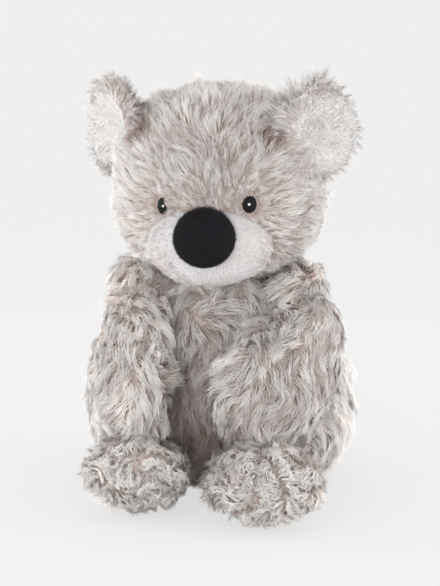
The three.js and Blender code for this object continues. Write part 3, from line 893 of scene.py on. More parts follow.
def ear_of(name):
    """An ear's form and the way it faces; its dish pushes the front of the disc inwards."""
    out, front, yaw = EAR_PLACES[name]
    side = SIDES[name]
    centre = np.array([side * out * HEAD_HALF_WIDTH, NECK[1] - front * HEAD_HALF_DEPTH, HEAD_BASE])
    centre[2] += EAR_UP_SHARE * HEAD_HEIGHT
    towards = round_z(FORMS_FORWARD, side * yaw)
    outward = side * np.cross(FORMS_UP, towards)
    spine = [centre - EAR_BACK * towards, centre + EAR_FRONT * towards]
    form = stuffed(spine, FORMS_UP, EAR_HALF, EAR_HALF, fullness=3)

    def dish(p):
        """Points with those on the front pushed inwards round the ear's middle."""
        from_centre = p - centre
        reach = from_centre @ towards
        round_it = np.linalg.norm(from_centre - reach[:, None] * towards, axis=1)
        sunk = EAR_DISH * (1 - smooth(round_it / EAR_HALF, 0.25, 0.95)) * (reach > 0)
        return p - sunk[:, None] * towards

    root = pivot(f"ear_fold_{name}")
    return dict(form=form, centre=centre, facing=towards, outward=outward, dish=dish, root=root)


ears = {name: ear_of(name) for name in SIDES}

# The outlines of the soles and of the muzzle's white
SOLE_HALF_WIDTH = 27 * MM
SOLE_HALF_HEIGHT = 21 * MM
SOLE_UP = 1 * MM
SOLE_DEPTH = 16 * MM


def sole_share(name, p):
    """How far inside a foot's oval sole points lie, from 1 at its middle to 0 at its rim."""
    end = leg_forms[name]["spine"][-1]
    across = (p[:, 0] - end[0]) / SOLE_HALF_WIDTH
    up = (p[:, 2] - end[2] - SOLE_UP) / SOLE_HALF_HEIGHT
    return np.where(p[:, 1] < end[1] + SOLE_DEPTH, 1 - np.hypot(across, up), -1)


WHITE_SLANT_FACING = (0.8, 0.6)
WHITE_SLANT_PLACE = (-31.5 * MM, 7.5 * MM)
WHITE_BOW_PLACE = (33.5 * MM, 2 * MM)
WHITE_BOW_DEPTH = 43 * MM
WHITE_RAGGED = 0.8 * MM


def white_share(p):
    """How deep points lie inside the white of the muzzle, which has a ragged edge.

    On the toy's right the edge is a straight line aslant, and on its left a parabola.
    """
    across, up = p[:, 0] - FACE[0], p[:, 2] - FACE[2]
    aslant = WHITE_SLANT_FACING[0] * (across - WHITE_SLANT_PLACE[0])
    aslant = aslant + WHITE_SLANT_FACING[1] * (up - WHITE_SLANT_PLACE[1])
    bowed = WHITE_BOW_PLACE[0] - across - (up - WHITE_BOW_PLACE[1]) ** 2 / WHITE_BOW_DEPTH
    return np.minimum(aslant, bowed) + WHITE_RAGGED * waves(p, 9 * MM, 73)[:, 0]


# Combs
def away_from(points, place):
    """Directions away from a place, with little of the way forwards or back in them."""
    return unit((points - place) * [1, 0.15, 1])


# Places and ranges, each of them from its low end to its high one, that the combs go by
OVER_EYE_INWARDS = 6 * MM
OVER_EYE_FADE = (4 * MM, 7 * MM)
PARTING_UP = 6 * MM
EYE_PARTING_FADE = (7 * MM, 17 * MM)
BODY_SIDES = (20 * MM, 70 * MM)
CHEST_FRONT = (10 * MM, 40 * MM)
CHEST_HEIGHTS = (60 * MM, 90 * MM)
WHORL_FADE = (7 * MM, 19 * MM)


def over_eye(p):
    """1 for the lock beside the right eye that falls over its inner half, 0 away from it."""
    root = EYES["right"] + np.array([OVER_EYE_INWARDS, 0, 0])
    return 1 - smooth(distance(p, root), *OVER_EYE_FADE)


def head_comb(p):
    """Away from the muzzle on all sides, over the crown and down the back, clear of the eyes."""
    comb = unit(p - FACE - PARTING_UP * FORMS_UP)
    for eye in EYES.values():
        close = 1 - smooth(distance(p, eye), *EYE_PARTING_FADE)
        comb = comb + 1.6 * close[:, None] * away_from(p, eye)
    comb = unit(comb) + 3 * over_eye(p)[:, None] * np.array([-1.0, 0, 0.1])
    return comb + 0.2 * waves(p, 24 * MM, 11) + 0.2 * waves(p, 70 * MM, 12)


def body_comb(p):
    """Down, with broad swirls on the chest."""
    comb = np.zeros_like(p)
    comb[:, 2] = -1
    comb[:, 0] += 0.3 * np.sign(p[:, 0]) * smooth(np.abs(p[:, 0]), *BODY_SIDES)
    chest = smooth(-p[:, 1], *CHEST_FRONT) * smooth(p[:, 2], *CHEST_HEIGHTS)
    return comb + (0.25 + 0.7 * chest)[:, None] * waves(p, 38 * MM, 21)


LIMB_SWIRLS = 0.45
WHORLS = {
    "left": (np.array([14, -66, 84]) * MM, np.array([-1.0, -0.3, 0.15])),
    "right": (np.array([-30, -66, 80]) * MM, np.array([0.8, -0.3, 0.6])),
}


def whorl_share(name, p):
    """1 at the pale tuft on the inner side of an arm, 0 away from it."""
    return 1 - smooth(distance(p, WHORLS[name][0]), *WHORL_FADE)


def limb_comb(form, seed, p):
    """Along the limb from root to end, lifted off to both sides, with swirls."""
    start, end = form["spine"][0], form["spine"][-1]
    axis = unit((end - start)[None])[0]
    along = (p - start) @ axis
    aside = unit(p - (start + np.outer(along, axis)))
    spread = 0.35 * smooth(along, 0.3 * ARM_LENGTH, ARM_LENGTH)[:, None]
    return axis + spread * aside + LIMB_SWIRLS * waves(p, 34 * MM, seed)


# Styles of pile, in this order:
# strands to a lock and rings to a strand, the radius of a strand, and how much of its own
# roundness the light shows
# length along the cloth, height off it, and how uneven locks are in length
# spread of a lock at its root, the share of it that is left at the tip, the radius of the
# bend that brings a strand back to the cloth, and its droop
# wave and turns of a curl, and how much the height ruffles
# lean of locks, fray of strands, and the share of stray ones
# tufts: their share of the locks, half width, roundness, gap, lean and painted shade at the
# edge, and how far locks gather to the middle of theirs
LONG = dict(
    strands=15, rings=2, radius=0.41 * MM, own_normal=0.18,
    length=12 * MM, height=8 * MM, uneven=0.22,
    spread=3.2 * MM, pinch=0.28, round=55 * MM, droop=1.0 * MM,
    wave=0.9 * MM, turns=0.8, ruffle=0.25,
    lean=0.2, fray=0.14, strays=0.06,
    tuft_share=0.13, tuft_half=4.2 * MM, tuft_round=0.8, tuft_gap=3 * MM,
    tuft_lean=0.2, tuft_shade=0.1, gather=0.45,
)
HEAD_LONG = dict(
    LONG, strands=12, radius=0.29 * MM, own_normal=0.24,
    length=11 * MM, height=6 * MM,
    spread=2.1 * MM, pinch=0.35,
    wave=0.6 * MM, ruffle=0.2,
    tuft_share=0.25, tuft_half=2.2 * MM, tuft_round=0.7, tuft_gap=1.2 * MM,
    tuft_lean=0.15, tuft_shade=0.06, gather=0.35,
)
EAR_LONG = dict(
    HEAD_LONG, strands=8, radius=0.24 * MM,
    length=8.5 * MM, height=5.5 * MM,
    spread=1.8 * MM, round=60 * MM,
    fray=0.1, gather=0.15,
)
SHORT = dict(
    LONG, strands=3, own_normal=0.06,
    spread=0.8 * MM, pinch=0.6, droop=0.0,
    wave=0.3 * MM, ruffle=0.05,
    fray=0.3, strays=0.0,
    tuft_round=0.0, tuft_lean=0.1, tuft_shade=0.0, gather=0.0,
)
CURLY = dict(
    LONG, strands=6, rings=6, radius=0.34 * MM, own_normal=0.3,
    length=7 * MM, height=5 * MM,
    spread=1.2 * MM, pinch=0.5, droop=0.0,
    wave=1.4 * MM, turns=1.6,
    tuft_half=2 * MM, tuft_gap=1.2 * MM, gather=0.3,
)
LINING_SHORT = dict(SHORT, strands=2, radius=0.34 * MM, length=3 * MM, height=1.2 * MM)
MUZZLE_SHORT = dict(SHORT, radius=0.34 * MM, length=2.4 * MM, height=0.7 * MM)
VELOUR_SHORT = dict(SHORT, strands=2, radius=0.16 * MM, length=0.9 * MM, height=1.3 * MM)

# Where and how densely the fur grows
LIMB_ROUND = 35 * MM
LOCK_SPACING = 4.0 * MM
HEAD_SPACING = 2.9 * MM
MUZZLE_SPACING = 1.15 * MM
MUZZLE_CLOTH_DEPTH = 1.6 * MM
MUZZLE_ROOT_DEPTH = 1.7 * MM
NOSE_SPACING = 1.0 * MM
NOSE_CLOTH_DEPTH = 0.5 * MM
NOSE_ROOT_DEPTH = 0.6 * MM
SOLE_SPACING = 2.3 * MM
THINNED_BEHIND = 0.3
FACES_BACK = 0.4
FACES_FRONT = 0.2
PANELS = ("front", "left", "back", "right")


def fur_roots(forms, depth, spacing, seed, hidden):
    """Roots and normals over the cloth of forms, without those in each other.

    hidden gives the share of the locks that are left out at a place, where little of them shows.
    """
    rng = np.random.default_rng(seed)
    found = []
    for i, form in enumerate(forms):
        roots, normals = scattered(form, depth, spacing, rng)
        others = forms[:i] + forms[i + 1 :]
        keep = rng.uniform(0, 1, len(roots)) > hidden(roots, normals)
        if others:
            keep &= depth_in_any(others, roots) < depth + 1 * MM
        found.append((roots[keep], normals[keep]))
    return (np.concatenate(part) for part in zip(*found))


def sector(points, centre, count):
    """Which of a few equal sectors round the vertical each point is in, the front one first."""
    angle = np.arctan2(points[:, 0] - centre[0], -(points[:, 1] - centre[1]))
    return ((angle / (2 * np.pi) + 0.5 / count) % 1 * count).astype(int)


EAR_HOLLOWS = np.array([[32, -37, 216], [-41, -32, 217]]) * MM
HOLLOW_FADE = (5 * MM, 12 * MM)


def ear_shade(points):
    """Where painted shade goes: 1 in the hollows where the ears meet the brow, 0 a little way off
    them.
    """
    return 1 - smooth(nearest(points, EAR_HOLLOWS), *HOLLOW_FADE)


def tone_of(points, seed):
    """A slow drift of tone over a piece, from broad and middling noise."""
    broad = waves(points, 80 * MM, seed)[:, 0]
    middling = waves(points, 22 * MM, seed + 1)[:, 0]
    return 0.52 + 0.03 * broad + 0.025 * middling


LIMB_ROOTS = {"arm_lift": 17 * MM, "leg_splay": 19 * MM}


def in_limb_roots(p):
    """Which points are inside the root of a limb, where no fur grows on the body."""
    places = [(pivot(f"{joint}_{n}"), reach) for joint, reach in LIMB_ROOTS.items() for n in SIDES]
    return np.any([distance(p, place) < reach for place, reach in places], axis=0)


GAP_ASIDE = -4 * MM
GAP_HALF = (14 * MM, 34 * MM)
GAP_HEIGHTS = (60 * MM, 105 * MM)
PAINTED_LIGHT_FLANK = (40 * MM, 70 * MM)


def body_tone(p):
    """The body's tone: painted shade darkens it low down between the arms, and painted
    light makes its left flank pale.
    """
    gap = 1 - smooth(np.abs(p[:, 0] - GAP_ASIDE), *GAP_HALF)
    gap = gap * (1 - smooth(p[:, 2], *GAP_HEIGHTS)) * (p[:, 1] < 0)
    # Painted shade between the arms, painted light on the left flank
    return tone_of(p, 31) + 0.05 - 0.3 * gap + 0.15 * smooth(p[:, 0], *PAINTED_LIGHT_FLANK)


SEAT_BARE = 2 * MM


def dress_body():
    """The body: its cloth, and fur in four panels."""
    cloth = stuffed_cloth("body_cloth", [body_form], UNDERFUR, grey_backing)

    def hidden(p, facing):
        in_head = depth_inside(head_form, p) > FUR_WALL
        never = in_head | (p[:, 2] < SEAT_BARE) | in_limb_roots(p)
        covered = depth_in_any([*arm_forms.values(), *leg_forms.values()], p) > UNDERFUR
        thinned = np.where(covered, 0.5, THINNED_BEHIND * (facing[:, 1] > FACES_BACK))
        return np.where(never, 1.0, thinned)

    roots, normals = fur_roots([body_form], UNDERFUR, LOCK_SPACING, 101, hidden)
    style = dict(LONG, tone=body_tone(roots))
    names = [f"body_fur_{panel}" for panel in PANELS]
    panels = sector(roots, np.zeros(3), len(PANELS))
    furs = pile(names, roots, normals, body_comb(roots), style, 102, grey_pile, panels)
    return cloth, furs


BESIDE_WHITE_DEPTH = 2.5 * MM
BESIDE_WHITE_SPACING = 2.6 * MM
RING_SPACING = 1.5 * MM
EYE_CLEAR = 6.4 * MM
EYE_CLEAR_INWARDS = 3.5 * MM
EYE_RING = (6.2 * MM, 10.5 * MM)
OFF_EYES = (6 * MM, 20 * MM)
PAINTED_SHADE_AT_EYES = (6 * MM, 11 * MM)
OFF_MUZZLE = (-1 * MM, 14 * MM)
ON_MUZZLE = 2 * MM
CROWN_HEIGHTS = (215 * MM, 238 * MM)
HEAD_BEHIND = (-10 * MM, 15 * MM)


def oval_gap(p, eye):
    """How far points are from an eye, where a step sideways counts for more."""
    return np.linalg.norm((p - eye) * [1.2, 1, 1], axis=1)


def more_head_roots():
    """Roots beside the white of the muzzle, and closer ones in a ring round each eye."""
    rng = np.random.default_rng(113)
    aside, aside_normals = scattered(muzzle_form, BESIDE_WHITE_DEPTH, BESIDE_WHITE_SPACING, rng)
    grey = (white_share(aside) < 0.5 * MM) & (depth_inside(head_form, aside) < HEAD_UNDERFUR)
    ring, ring_normals = scattered(head_form, HEAD_UNDERFUR, RING_SPACING, rng)
    gap = np.min([oval_gap(ring, eye) for eye in EYES.values()], axis=0)
    close = (gap > EYE_RING[0]) & (gap < EYE_RING[1])
    close &= (depth_inside(muzzle_form, ring) < 0) & (ring[:, 1] < 0)
    places = np.concatenate([aside[grey], ring[close]])
    return places, np.concatenate([aside_normals[grey], ring_normals[close]])


def head_trim(p):
    """How long the head's fur is and how high it stands, as shares of its style.

    It is short round the eyes and the muzzle, and high on the crown and behind.
    """
    in_muzzle = depth_inside(muzzle_form, p)
    off_eyes = smooth(nearest(p, EYES.values()), *OFF_EYES)
    off_muzzle = smooth(-in_muzzle, *OFF_MUZZLE)
    length = (0.3 + 0.7 * off_eyes) * (0.55 + 0.45 * off_muzzle)
    height = (0.5 + 0.5 * off_eyes) * (0.7 + 0.3 * off_muzzle)
    crown = smooth(p[:, 2], *CROWN_HEIGHTS)
    behind = smooth(p[:, 1], *HEAD_BEHIND)
    height = np.maximum(height * (1 + 0.5 * crown + 0.3 * behind), 0.65 * over_eye(p))
    length = np.maximum(length * (1 - 0.2 * crown), 0.33 * over_eye(p))
    return length, np.where(in_muzzle > ON_MUZZLE, 0.35, height)


def head_tone(p):
    """The head's tone: painted shade in the hollows where the ears meet the brow and round
    the eyes, and a little darker on the muzzle.
    """
    on_muzzle = depth_inside(muzzle_form, p) > ON_MUZZLE
    # Painted shade at the ear hollows and round the eyes
    tone = tone_of(p, 33) - 0.65 * ear_shade(p) - 0.12 * on_muzzle
    return tone - 0.16 * (1 - smooth(nearest(p, EYES.values()), *PAINTED_SHADE_AT_EYES))


def dress_head():
    """The head: its cloth, and fur in four panels, short round the eyes and the muzzle."""
    cloth = stuffed_cloth("head_cloth", [head_form], HEAD_UNDERFUR, grey_backing)

    def hidden(p, facing):
        in_body = (depth_inside(body_form, p) > FUR_WALL) | (p[:, 2] < NECK[2] + 3 * MM)
        in_muzzle = depth_inside(muzzle_form, p) > 1 * MM
        left, right = (oval_gap(p, EYES[n]) < EYE_CLEAR for n in SIDES)
        right &= p[:, 0] < EYES["right"][0] + EYE_CLEAR_INWARDS
        never = in_body | in_muzzle | left | right
        return np.where(never, 1.0, THINNED_BEHIND * (facing[:, 1] > FACES_BACK))

    roots, normals = fur_roots([head_form], HEAD_UNDERFUR, HEAD_SPACING, 111, hidden)
    more, more_normals = more_head_roots()
    roots = np.concatenate([roots, more])
    normals = np.concatenate([normals, more_normals])
    length, height = head_trim(roots)
    style = dict(HEAD_LONG, tone=head_tone(roots), length_share=length, height_share=height)
    names = [f"head_fur_{panel}" for panel in PANELS]
    panels = sector(roots, NECK, len(PANELS))
    furs = pile(names, roots, normals, head_comb(roots), style, 112, grey_pile, panels)
    return cloth, furs


ARM_CLOSE_FUR = {"left": (-30 * MM, 6 * MM), "right": (-16 * MM, 24 * MM)}
ARM_CLOSE_FADE = 8 * MM
ARM_OUTSIDE = (8 * MM, 22 * MM)
ARM_AT_NECK = (12 * MM, 26 * MM)
ARM_NECK_FUR = {"left": 0.7, "right": -0.3}
# Painted light near the shoulder, and on each arm, most on the toy's right
PAINTED_LIGHT_SHOULDER = (24 * MM, 40 * MM)
ARM_PAINTED_LIGHT = {"left": 0.03, "right": 0.15}


def arm_trim(name, p):
    """How high the fur of an arm stands: its own height at the neck, close outside the arm."""
    shoulder = pivot(f"arm_lift_{name}")
    out = SIDES[name] * (p[:, 0] - shoulder[0])
    up = p[:, 2] - shoulder[2]
    at_neck = smooth(up + 0.5 * out, *ARM_AT_NECK)
    low, high = ARM_CLOSE_FUR[name]
    beside = smooth(out, *ARM_OUTSIDE) * smooth(up, low - ARM_CLOSE_FADE, low)
    beside = beside * (1 - smooth(up, high, high + ARM_CLOSE_FADE))
    return (1 + ARM_NECK_FUR[name] * at_neck) * (1 - 0.65 * beside)


def lifted(p, joint):
    """Points turned about a joint's axis to its upper limit."""
    axis = np.array(JOINTS[joint]["axis"])
    angle = math.radians(JOINTS[joint]["range_deg"][1])
    out = p - pivot(joint)
    along = (out @ axis)[:, None] * axis
    turned = (out - along) * math.cos(angle) + np.cross(axis, out) * math.sin(angle)
    return pivot(joint) + along + turned


def dress_arm(name):
    """An arm: its cloth round the limb and the shoulder, and fur that runs down to the hand.

    Fur that lies in the body at rest is kept where a lifted arm would bare the cloth.
    """
    forms = [arm_forms[name], shoulder_forms[name]]
    cloth = stuffed_cloth(f"arm_cloth_{name}", forms, UNDERFUR, grey_backing, 30, 36)
    joint, side = f"arm_lift_{name}", SIDES[name]

    def hidden(p, facing):
        in_body = depth_inside(body_form, p)
        stays = depth_inside(body_form, lifted(p, joint)) > UNDERFUR + 2 * MM
        in_head = depth_inside(head_form, p) > UNDERFUR + 1 * MM
        never = in_head | ((in_body > UNDERFUR + 2 * MM) & stays)
        return np.where(never, 1.0, 0.4 * ((in_body > 0) & stays))

    roots, normals = fur_roots(forms, UNDERFUR, LOCK_SPACING, 121 + side, hidden)
    whorl = whorl_share(name, roots)
    comb = limb_comb(forms[0], 51 + side, roots) + 3 * whorl[:, None] * WHORLS[name][1]
    # Painted light: the arms are lightened, the toy's right one most, and more near the shoulder
    # where the head's shadow falls
    shoulder = 1 - smooth(distance(roots, pivot(joint)), *PAINTED_LIGHT_SHOULDER)
    tone = tone_of(roots, 41 + side) + ARM_PAINTED_LIGHT[name] + 0.08 * whorl + 0.12 * shoulder
    height = arm_trim(name, roots) * (1 + 0.5 * whorl)
    style = dict(LONG, round=LIMB_ROUND, tone=tone, height_share=height)
    return cloth, pile([f"arm_fur_{name}"], roots, normals, comb, style, 131 + side, grey_pile)


LEG_TRIM_HEIGHTS = (14 * MM, 42 * MM)
LEG_UNDER_HEIGHTS = (12 * MM, 24 * MM)
FOOT_INSIDE = (16 * MM, 30 * MM)
FOOT_FRONT = (80 * MM, 105 * MM)


def dress_leg(name):
    """A leg: its cloth round the limb and the hip, and fur that runs out to the foot's edge."""
    forms = [leg_forms[name], hip_forms[name]]
    cloth = stuffed_cloth(f"leg_cloth_{name}", forms, UNDERFUR, grey_backing, 30, 40)
    side = SIDES[name]

    def hidden(p, facing):
        in_body = depth_inside(body_form, p)
        never = (in_body > UNDERFUR + 2 * MM) | (p[:, 2] < 1.5 * MM) | (sole_share(name, p) > 0.1)
        return np.where(never, 1.0, 0.5 * ((facing[:, 2] < -0.6) | (in_body > 0)))

    roots, normals = fur_roots(forms, UNDERFUR, LOCK_SPACING, 141 + side, hidden)
    trim = 0.35 + 0.65 * smooth(roots[:, 2], *LEG_TRIM_HEIGHTS)
    under = smooth(-normals[:, 1], 0.1, 0.5) * (1 - smooth(roots[:, 2], *LEG_UNDER_HEIGHTS))
    inner = smooth(-side * (roots[:, 0] - forms[0]["spine"][-1, 0]), *FOOT_INSIDE)
    inner = inner * smooth(-roots[:, 1], *FOOT_FRONT) * (name == "left")
    length = trim * (1 - 0.5 * under) + 0.5 * inner
    height = (0.3 + 0.7 * trim) * (1 - 0.6 * under) + 0.6 * inner
    style = dict(LONG, round=LIMB_ROUND, tone=tone_of(roots, 43 + side) + 0.07)
    style.update(length_share=length, height_share=height)
    comb = limb_comb(forms[0], 53 + side, roots)
    return cloth, pile([f"leg_fur_{name}"], roots, normals, comb, style, 151 + side, grey_pile)


def lining_share(ear, p):
    """How far into an ear's white lining points lie: above 0 in its oval, below 0 outside it."""
    from_centre = p - ear["centre"]
    out = from_centre @ ear["outward"] - EAR_LINING_SHIFT
    up = from_centre[:, 2] + 0.2 * EAR_LINING_SHIFT
    return 1 - np.hypot(out, up) / EAR_LINING_HALF


def ear_fur(name, rng):
    """The long fur of an ear, from its root and past its rim, on its back and round its lining."""
    ear, side = ears[name], SIDES[name]
    roots, normals = scattered(ear["form"], 0.0, EAR_SPACING, rng)
    front = normals @ ear["facing"]
    lined = (lining_share(ear, roots) > 0) & (front > FACES_FRONT)
    keep = ~lined & (depth_inside(head_form, roots) <= FUR_WALL)
    roots, normals, front = ear["dish"](roots[keep]), normals[keep], front[keep]
    normals = unit(normals + 0.2 * rng.normal(size=normals.shape))
    from_centre = roots - ear["centre"]
    rim = smooth(distance(roots, ear["centre"]), *EAR_RIM)[:, None]
    comb = unit(roots - ear["root"]) + rim * unit(from_centre)
    comb = comb + 0.5 * waves(roots, 22 * MM, 61 + side)
    comb = comb + 0.35 * smooth(front, 0, 1)[:, None] * ear["facing"]
    out = from_centre @ ear["outward"] / EAR_HALF
    up = from_centre[:, 2] / EAR_HALF
    inner = smooth(up - 0.8 * out, 0.2, 1.0) * (name == "left")
    outer = smooth(out - 0.3 * np.abs(up), -0.2, 0.6)
    length = 0.8 + 0.3 * smooth(up - 0.6 * out, -0.3, 0.6) + 0.9 * inner - 0.1 * outer
    height = np.where(front > 0.3, 0.55, 0.9)
    # Painted shade in the hollow at the ear's root and over all of the toy's right ear, painted
    # light towards its outer side
    tone = tone_of(roots, 45 + side) - 0.7 * ear_shade(roots) + 0.08 * outer - EAR_PAINTED_SHADE[name]
    style = dict(EAR_LONG, tone=tone, length_share=length, height_share=height)
    style["facing"] = np.where(front[:, None] > -0.4, ear["facing"], normals)
    return pile([f"ear_fur_{name}"], roots, normals, comb, style, 163 + side, ear_pile)


def ear_lining(name, rng):
    """The short white pile in the dish of an ear."""
    ear, side = ears[name], SIDES[name]
    roots, normals = scattered(ear["form"], 0.0, EAR_LINING_SPACING, rng)
    keep = (lining_share(ear, roots) > -0.12) & (normals @ ear["facing"] > FACES_FRONT)
    roots, normals = ear["dish"](roots[keep]), normals[keep]
    comb = unit(roots - ear["root"]) + 0.5 * waves(roots, 12 * MM, 65 + side)
    style = dict(LINING_SHORT, tone=tone_of(roots, 47 + side))
    return pile([f"ear_lining_fur_{name}"], roots, normals, comb, style, 165 + side, lining_pile)


def dress_ear(name):
    """An ear: a dished disc of cloth, long fur from its root and past its rim, white lining."""
    ear = ears[name]
    shape = [ear["form"]], 0.0, white_backing, 24, 48, ear["dish"]
    cloth = stuffed_cloth(f"ear_cloth_{name}", *shape)
    rng = np.random.default_rng(161 + SIDES[name])
    return cloth, ear_fur(name, rng), ear_lining(name, rng)


MUZZLE_LENGTH = 16 * MM
TUFT_RIGHT = (18 * MM, 28 * MM)
TUFT_UP = (0, 8 * MM)
RIM_IN_WHITE = (0, 3 * MM)
RIM_OFF_HEAD = (0, 5 * MM)
PAINTED_LIGHT_BELOW = (2 * MM, 14 * MM)
PAINTED_SHADE_LEFT = (12 * MM, 24 * MM)


def dress_muzzle():
    """The muzzle: a white dome of cloth under a short, dense white pile, bare under the nose.

    The pile is longer at the rim and in a tuft high on the toy's right. Painted light makes it
    paler low down, and painted shade makes it darker on the toy's left above that.
    """
    shape = [muzzle_form], MUZZLE_CLOTH_DEPTH, white_backing, 40, 60
    cloth = stuffed_cloth("muzzle_cloth", *shape)
    rng = np.random.default_rng(171)
    roots, normals = scattered(muzzle_form, MUZZLE_ROOT_DEPTH, MUZZLE_SPACING, rng)
    behind = roots[:, 1] > FACE[1] + MUZZLE_LENGTH
    under_nose = depth_inside(nose_form, roots) > 1 * MM
    keep = ~(behind | under_nose) & (white_share(roots) > 0)
    roots, normals = roots[keep], normals[keep]
    tuft = smooth(FACE[0] - roots[:, 0], *TUFT_RIGHT)
    tuft = tuft * smooth(roots[:, 2] - FACE[2], *TUFT_UP)
    off_head = smooth(-depth_inside(head_form, roots), *RIM_OFF_HEAD)
    rim = 1 - np.minimum(smooth(white_share(roots), *RIM_IN_WHITE), off_head)
    low = smooth(FACE[2] - roots[:, 2], *PAINTED_LIGHT_BELOW)
    # Painted light low down and painted shade on the toy's left above it
    lit = 0.17 * low - 0.15 * smooth(roots[:, 0], *PAINTED_SHADE_LEFT) * (1 - low)
    style = dict(MUZZLE_SHORT, tone=tone_of(roots, 49) + lit)
    longer = 1 + 1.5 * np.maximum(tuft, rim)
    style.update(length_share=longer, height_share=longer + 1.5 * rim)
    comb = away_from(roots, NOSE_SEAT) + 0.25 * waves(roots, 14 * MM, 67)
    return cloth, pile(["muzzle_fur"], roots, normals, comb, style, 172, muzzle_pile)


def dress_nose():
    """The nose: a cushion of black velour with a pile so short that only its edge looks soft."""
    cushion = stuffed_cloth("nose_cushion", [nose_form], NOSE_CLOTH_DEPTH, nose_velour, 40, 60)
    rng = np.random.default_rng(175)
    roots, normals = scattered(nose_form, NOSE_ROOT_DEPTH, NOSE_SPACING, rng)
    keep = roots @ NOSE_FACING > NOSE_SEAT @ NOSE_FACING - 2 * MM
    roots, normals = roots[keep], normals[keep]
    top = smooth(normals[:, 2], 0.3, 0.8)
    comb = waves(roots, 8 * MM, 69) + FORMS_UP * (3 * top[:, None] - 0.6)
    style = dict(VELOUR_SHORT, length_share=1 + 2.4 * top, tone=tone_of(roots, 77))
    return cushion, pile(["nose_fuzz"], roots, normals, comb, style, 176, velour_pile)


def dress_eye(name):
    """An eye: a low oval dome of satin stitches, and a pale dot worked onto it."""
    dome = stuffed_cloth(f"eye_dome_{name}", [eye_form(name)], 0.0, eye_thread, 20, 32)
    dot = stuffed_cloth(f"eye_dot_{name}", [glint_form(name)], 0.0, glint_thread, 12, 20)
    return dome, dot


def dress_sole(name):
    """The sole of a foot: crinkled curls over the front of the leg's own cloth."""
    form, side = leg_forms[name], SIDES[name]
    rng = np.random.default_rng(181 + side)
    roots, normals = scattered(form, UNDERFUR, SOLE_SPACING, rng)
    keep = (sole_share(name, roots) > 0) & (roots[:, 2] > SEAT_BARE)
    roots, normals = roots[keep], normals[keep]
    comb = waves(roots, 13 * MM, 71 + side)
    style = dict(CURLY, tone=tone_of(roots, 51 + side) + 0.08)
    return pile([f"sole_fur_{name}"], roots, normals, comb, style, 183 + side, curly_pile)


def settle(cloth, furs, body, nodes, slot, fill=0.7):
    """Hangs a stuffed part's cloth on its body and hides the nodes it stands for; its fur goes
    with the cloth.
    """
    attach(cloth, body)
    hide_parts(*nodes)
    settle_loose(furs, body)


def settle_loose(pieces, body, nodes=()):
    """Hangs pieces on a body, and hides the nodes that they stand for, if any."""
    for piece in pieces:
        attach(piece, body)
        if nodes:
            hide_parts(*nodes)


settle(*dress_body(), "body", ["body_cover", "body_filling", "pellet_pouch"], "grey_fur")
settle(*dress_head(), "head", ["head_cover", "head_filling"], "grey_fur")
settle(*dress_muzzle(), "head", ["muzzle_cover"], "white_fur")
settle(*dress_nose(), "head", ["nose_cover", "nose_filling"], "black_velour")
for side_name in SIDES:
    arm, leg, ear_body = f"arm_{side_name}", f"leg_{side_name}", f"ear_{side_name}"
    arm_nodes = [f"arm_cover_{side_name}", f"arm_filling_{side_name}"]
    leg_nodes = [f"leg_cover_{side_name}", f"leg_filling_{side_name}"]
    settle(*dress_arm(side_name), arm, arm_nodes, "grey_fur")
    settle(*dress_leg(side_name), leg, leg_nodes, "grey_fur")
    settle_loose(dress_sole(side_name), leg, [f"sole_{side_name}"])
    ear_cloth, ear_furs, ear_linings = dress_ear(side_name)
    settle(ear_cloth, ear_furs, ear_body, [f"ear_back_{side_name}"], "grey_fur")
    settle_loose(ear_linings, ear_body, [f"ear_lining_{side_name}"])
    eye_dome, eye_dot = dress_eye(side_name)
    settle_loose([eye_dome], "head", [f"eye_{side_name}"])
    settle_loose([eye_dot], "head", [f"eye_glint_{side_name}"])


# Camera, light and floor
VIEW_AZIMUTH = math.radians(7.5)
VIEW_ELEVATION = math.radians(12.5)
VIEW_DISTANCE = 1.5
VIEW_LENS = 148.6
VIEW_SENSOR = 36
VIEW_TARGET = Vector((0, 0, 0.117))
LAMPS = {
    "key": ((-0.9, -1.5, 0.8), 1.0, 4),
    "side left": ((-1.5, 0.1, 0.4), 1.2, 12),
    "side right": ((1.5, 0.1, 0.4), 1.2, 14),
    "low front": ((-0.2, -1.6, 0.12), 1.2, 10),
}


def aimed(made, place):
    """Puts a camera or lamp in a place, looking at the toy."""
    made.location = place
    made.rotation_euler = (VIEW_TARGET - Vector(place)).to_track_quat("-Z", "Y").to_euler()
    bpy.context.scene.collection.objects.link(made)


def set_camera():
    """The photo's view: from a little above, and a little to the toy's left."""
    camera = bpy.data.objects.new("camera", bpy.data.cameras.new("camera"))
    camera.data.lens = VIEW_LENS
    camera.data.sensor_width = VIEW_SENSOR
    level = VIEW_DISTANCE * math.cos(VIEW_ELEVATION)
    up = VIEW_DISTANCE * math.sin(VIEW_ELEVATION)
    back = Vector((level * math.sin(VIEW_AZIMUTH), -level * math.cos(VIEW_AZIMUTH), up))
    aimed(camera, VIEW_TARGET + back)
    bpy.context.scene.camera = camera


def add_lamps():
    """Round soft lamps, by the name, place, size and power of each."""
    for name, (place, size, watts) in LAMPS.items():
        lamp = bpy.data.objects.new(name, bpy.data.lights.new(name, "AREA"))
        lamp.data.shape = "DISK"
        lamp.data.size = size
        lamp.data.energy = watts
        aimed(lamp, place)


BACKGROUND = 0.863
STUDIO_LIGHT = 1.2
FLOOR_TONE = 0.82
FLOOR_SHARE = 0.82
FLOOR_GREY = 0.85
FLOOR_FADE = (0.25, 0.9)
FLOOR_HALF = 4.0


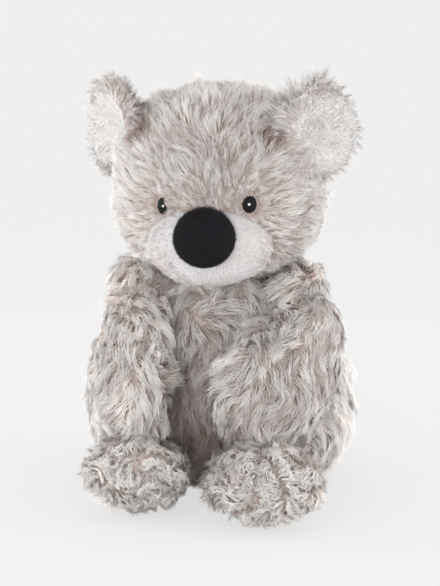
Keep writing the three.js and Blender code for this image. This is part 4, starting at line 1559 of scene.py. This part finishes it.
def background_rays(tree):
    """A socket that is 1 for the rays that see the background: direct, mirrored or through."""
    path = node_of(tree, "ShaderNodeLightPath").outputs
    seen = maths(tree, "MAXIMUM", path["Is Camera Ray"], path["Is Glossy Ray"])
    return maths(tree, "MAXIMUM", seen, path["Is Transmission Ray"])


def set_world():
    """An even white studio: the camera sees the pale backdrop, the toy is lit by the rest."""
    world = bpy.data.worlds.new("studio")
    bpy.context.scene.world = world
    world.use_nodes = True
    tree = world.node_tree
    light = tree.nodes["Background"]
    feed(tree, light, {"Color": (1, 1, 1, 1), "Strength": STUDIO_LIGHT})
    seen = node_of(tree, "ShaderNodeBackground", {"Color": opaque([BACKGROUND] * 3)})
    both = mixed_shader(tree, background_rays(tree), light.outputs[0], seen.outputs[0])
    feed(tree, tree.nodes["World Output"], {"Surface": both})


def floor_material():
    """A pale floor that the camera sees at the backdrop's own tone, with a soft shadow.

    Near the toy a small share of what the camera sees is the lit floor, for the shadow, and
    far from it there is none, so that the floor runs into the backdrop.
    """
    finish = {"Base Color": opaque([FLOOR_GREY] * 3), "Roughness": MATT}
    material, tree, shader = new_material("pale floor", finish)
    place = node_of(tree, "ShaderNodeTexCoord").outputs["Object"]
    away = node_of(tree, "ShaderNodeVectorMath", {0: place}, operation="LENGTH").outputs["Value"]
    fade = dict(zip(("From Min", "From Max"), FLOOR_FADE))
    tone = eased(tree, away, {**fade, "To Min": FLOOR_TONE, "To Max": BACKGROUND})
    share = eased(tree, away, {**fade, "To Min": FLOOR_SHARE, "To Max": 1.0})
    plain = node_of(tree, "ShaderNodeEmission", {"Strength": tone}).outputs[0]
    share = maths(tree, "MULTIPLY", background_rays(tree), share)
    both = mixed_shader(tree, share, shader.outputs[0], plain)
    feed(tree, tree.nodes["Material Output"], {"Surface": both})
    return material


def set_floor():
    """One square of floor, which goes on far behind the toy."""
    corners = FLOOR_HALF * np.array([(-1, -1, 0), (1, -1, 0), (1, 1, 0), (-1, 1, 0)])
    floor = put_mesh("floor", corners, [0, 1, 2, 3], [4], floor_material())


set_camera()
set_world()
set_floor()
add_lamps()
bpy.context.scene.view_settings.view_transform = "Standard"
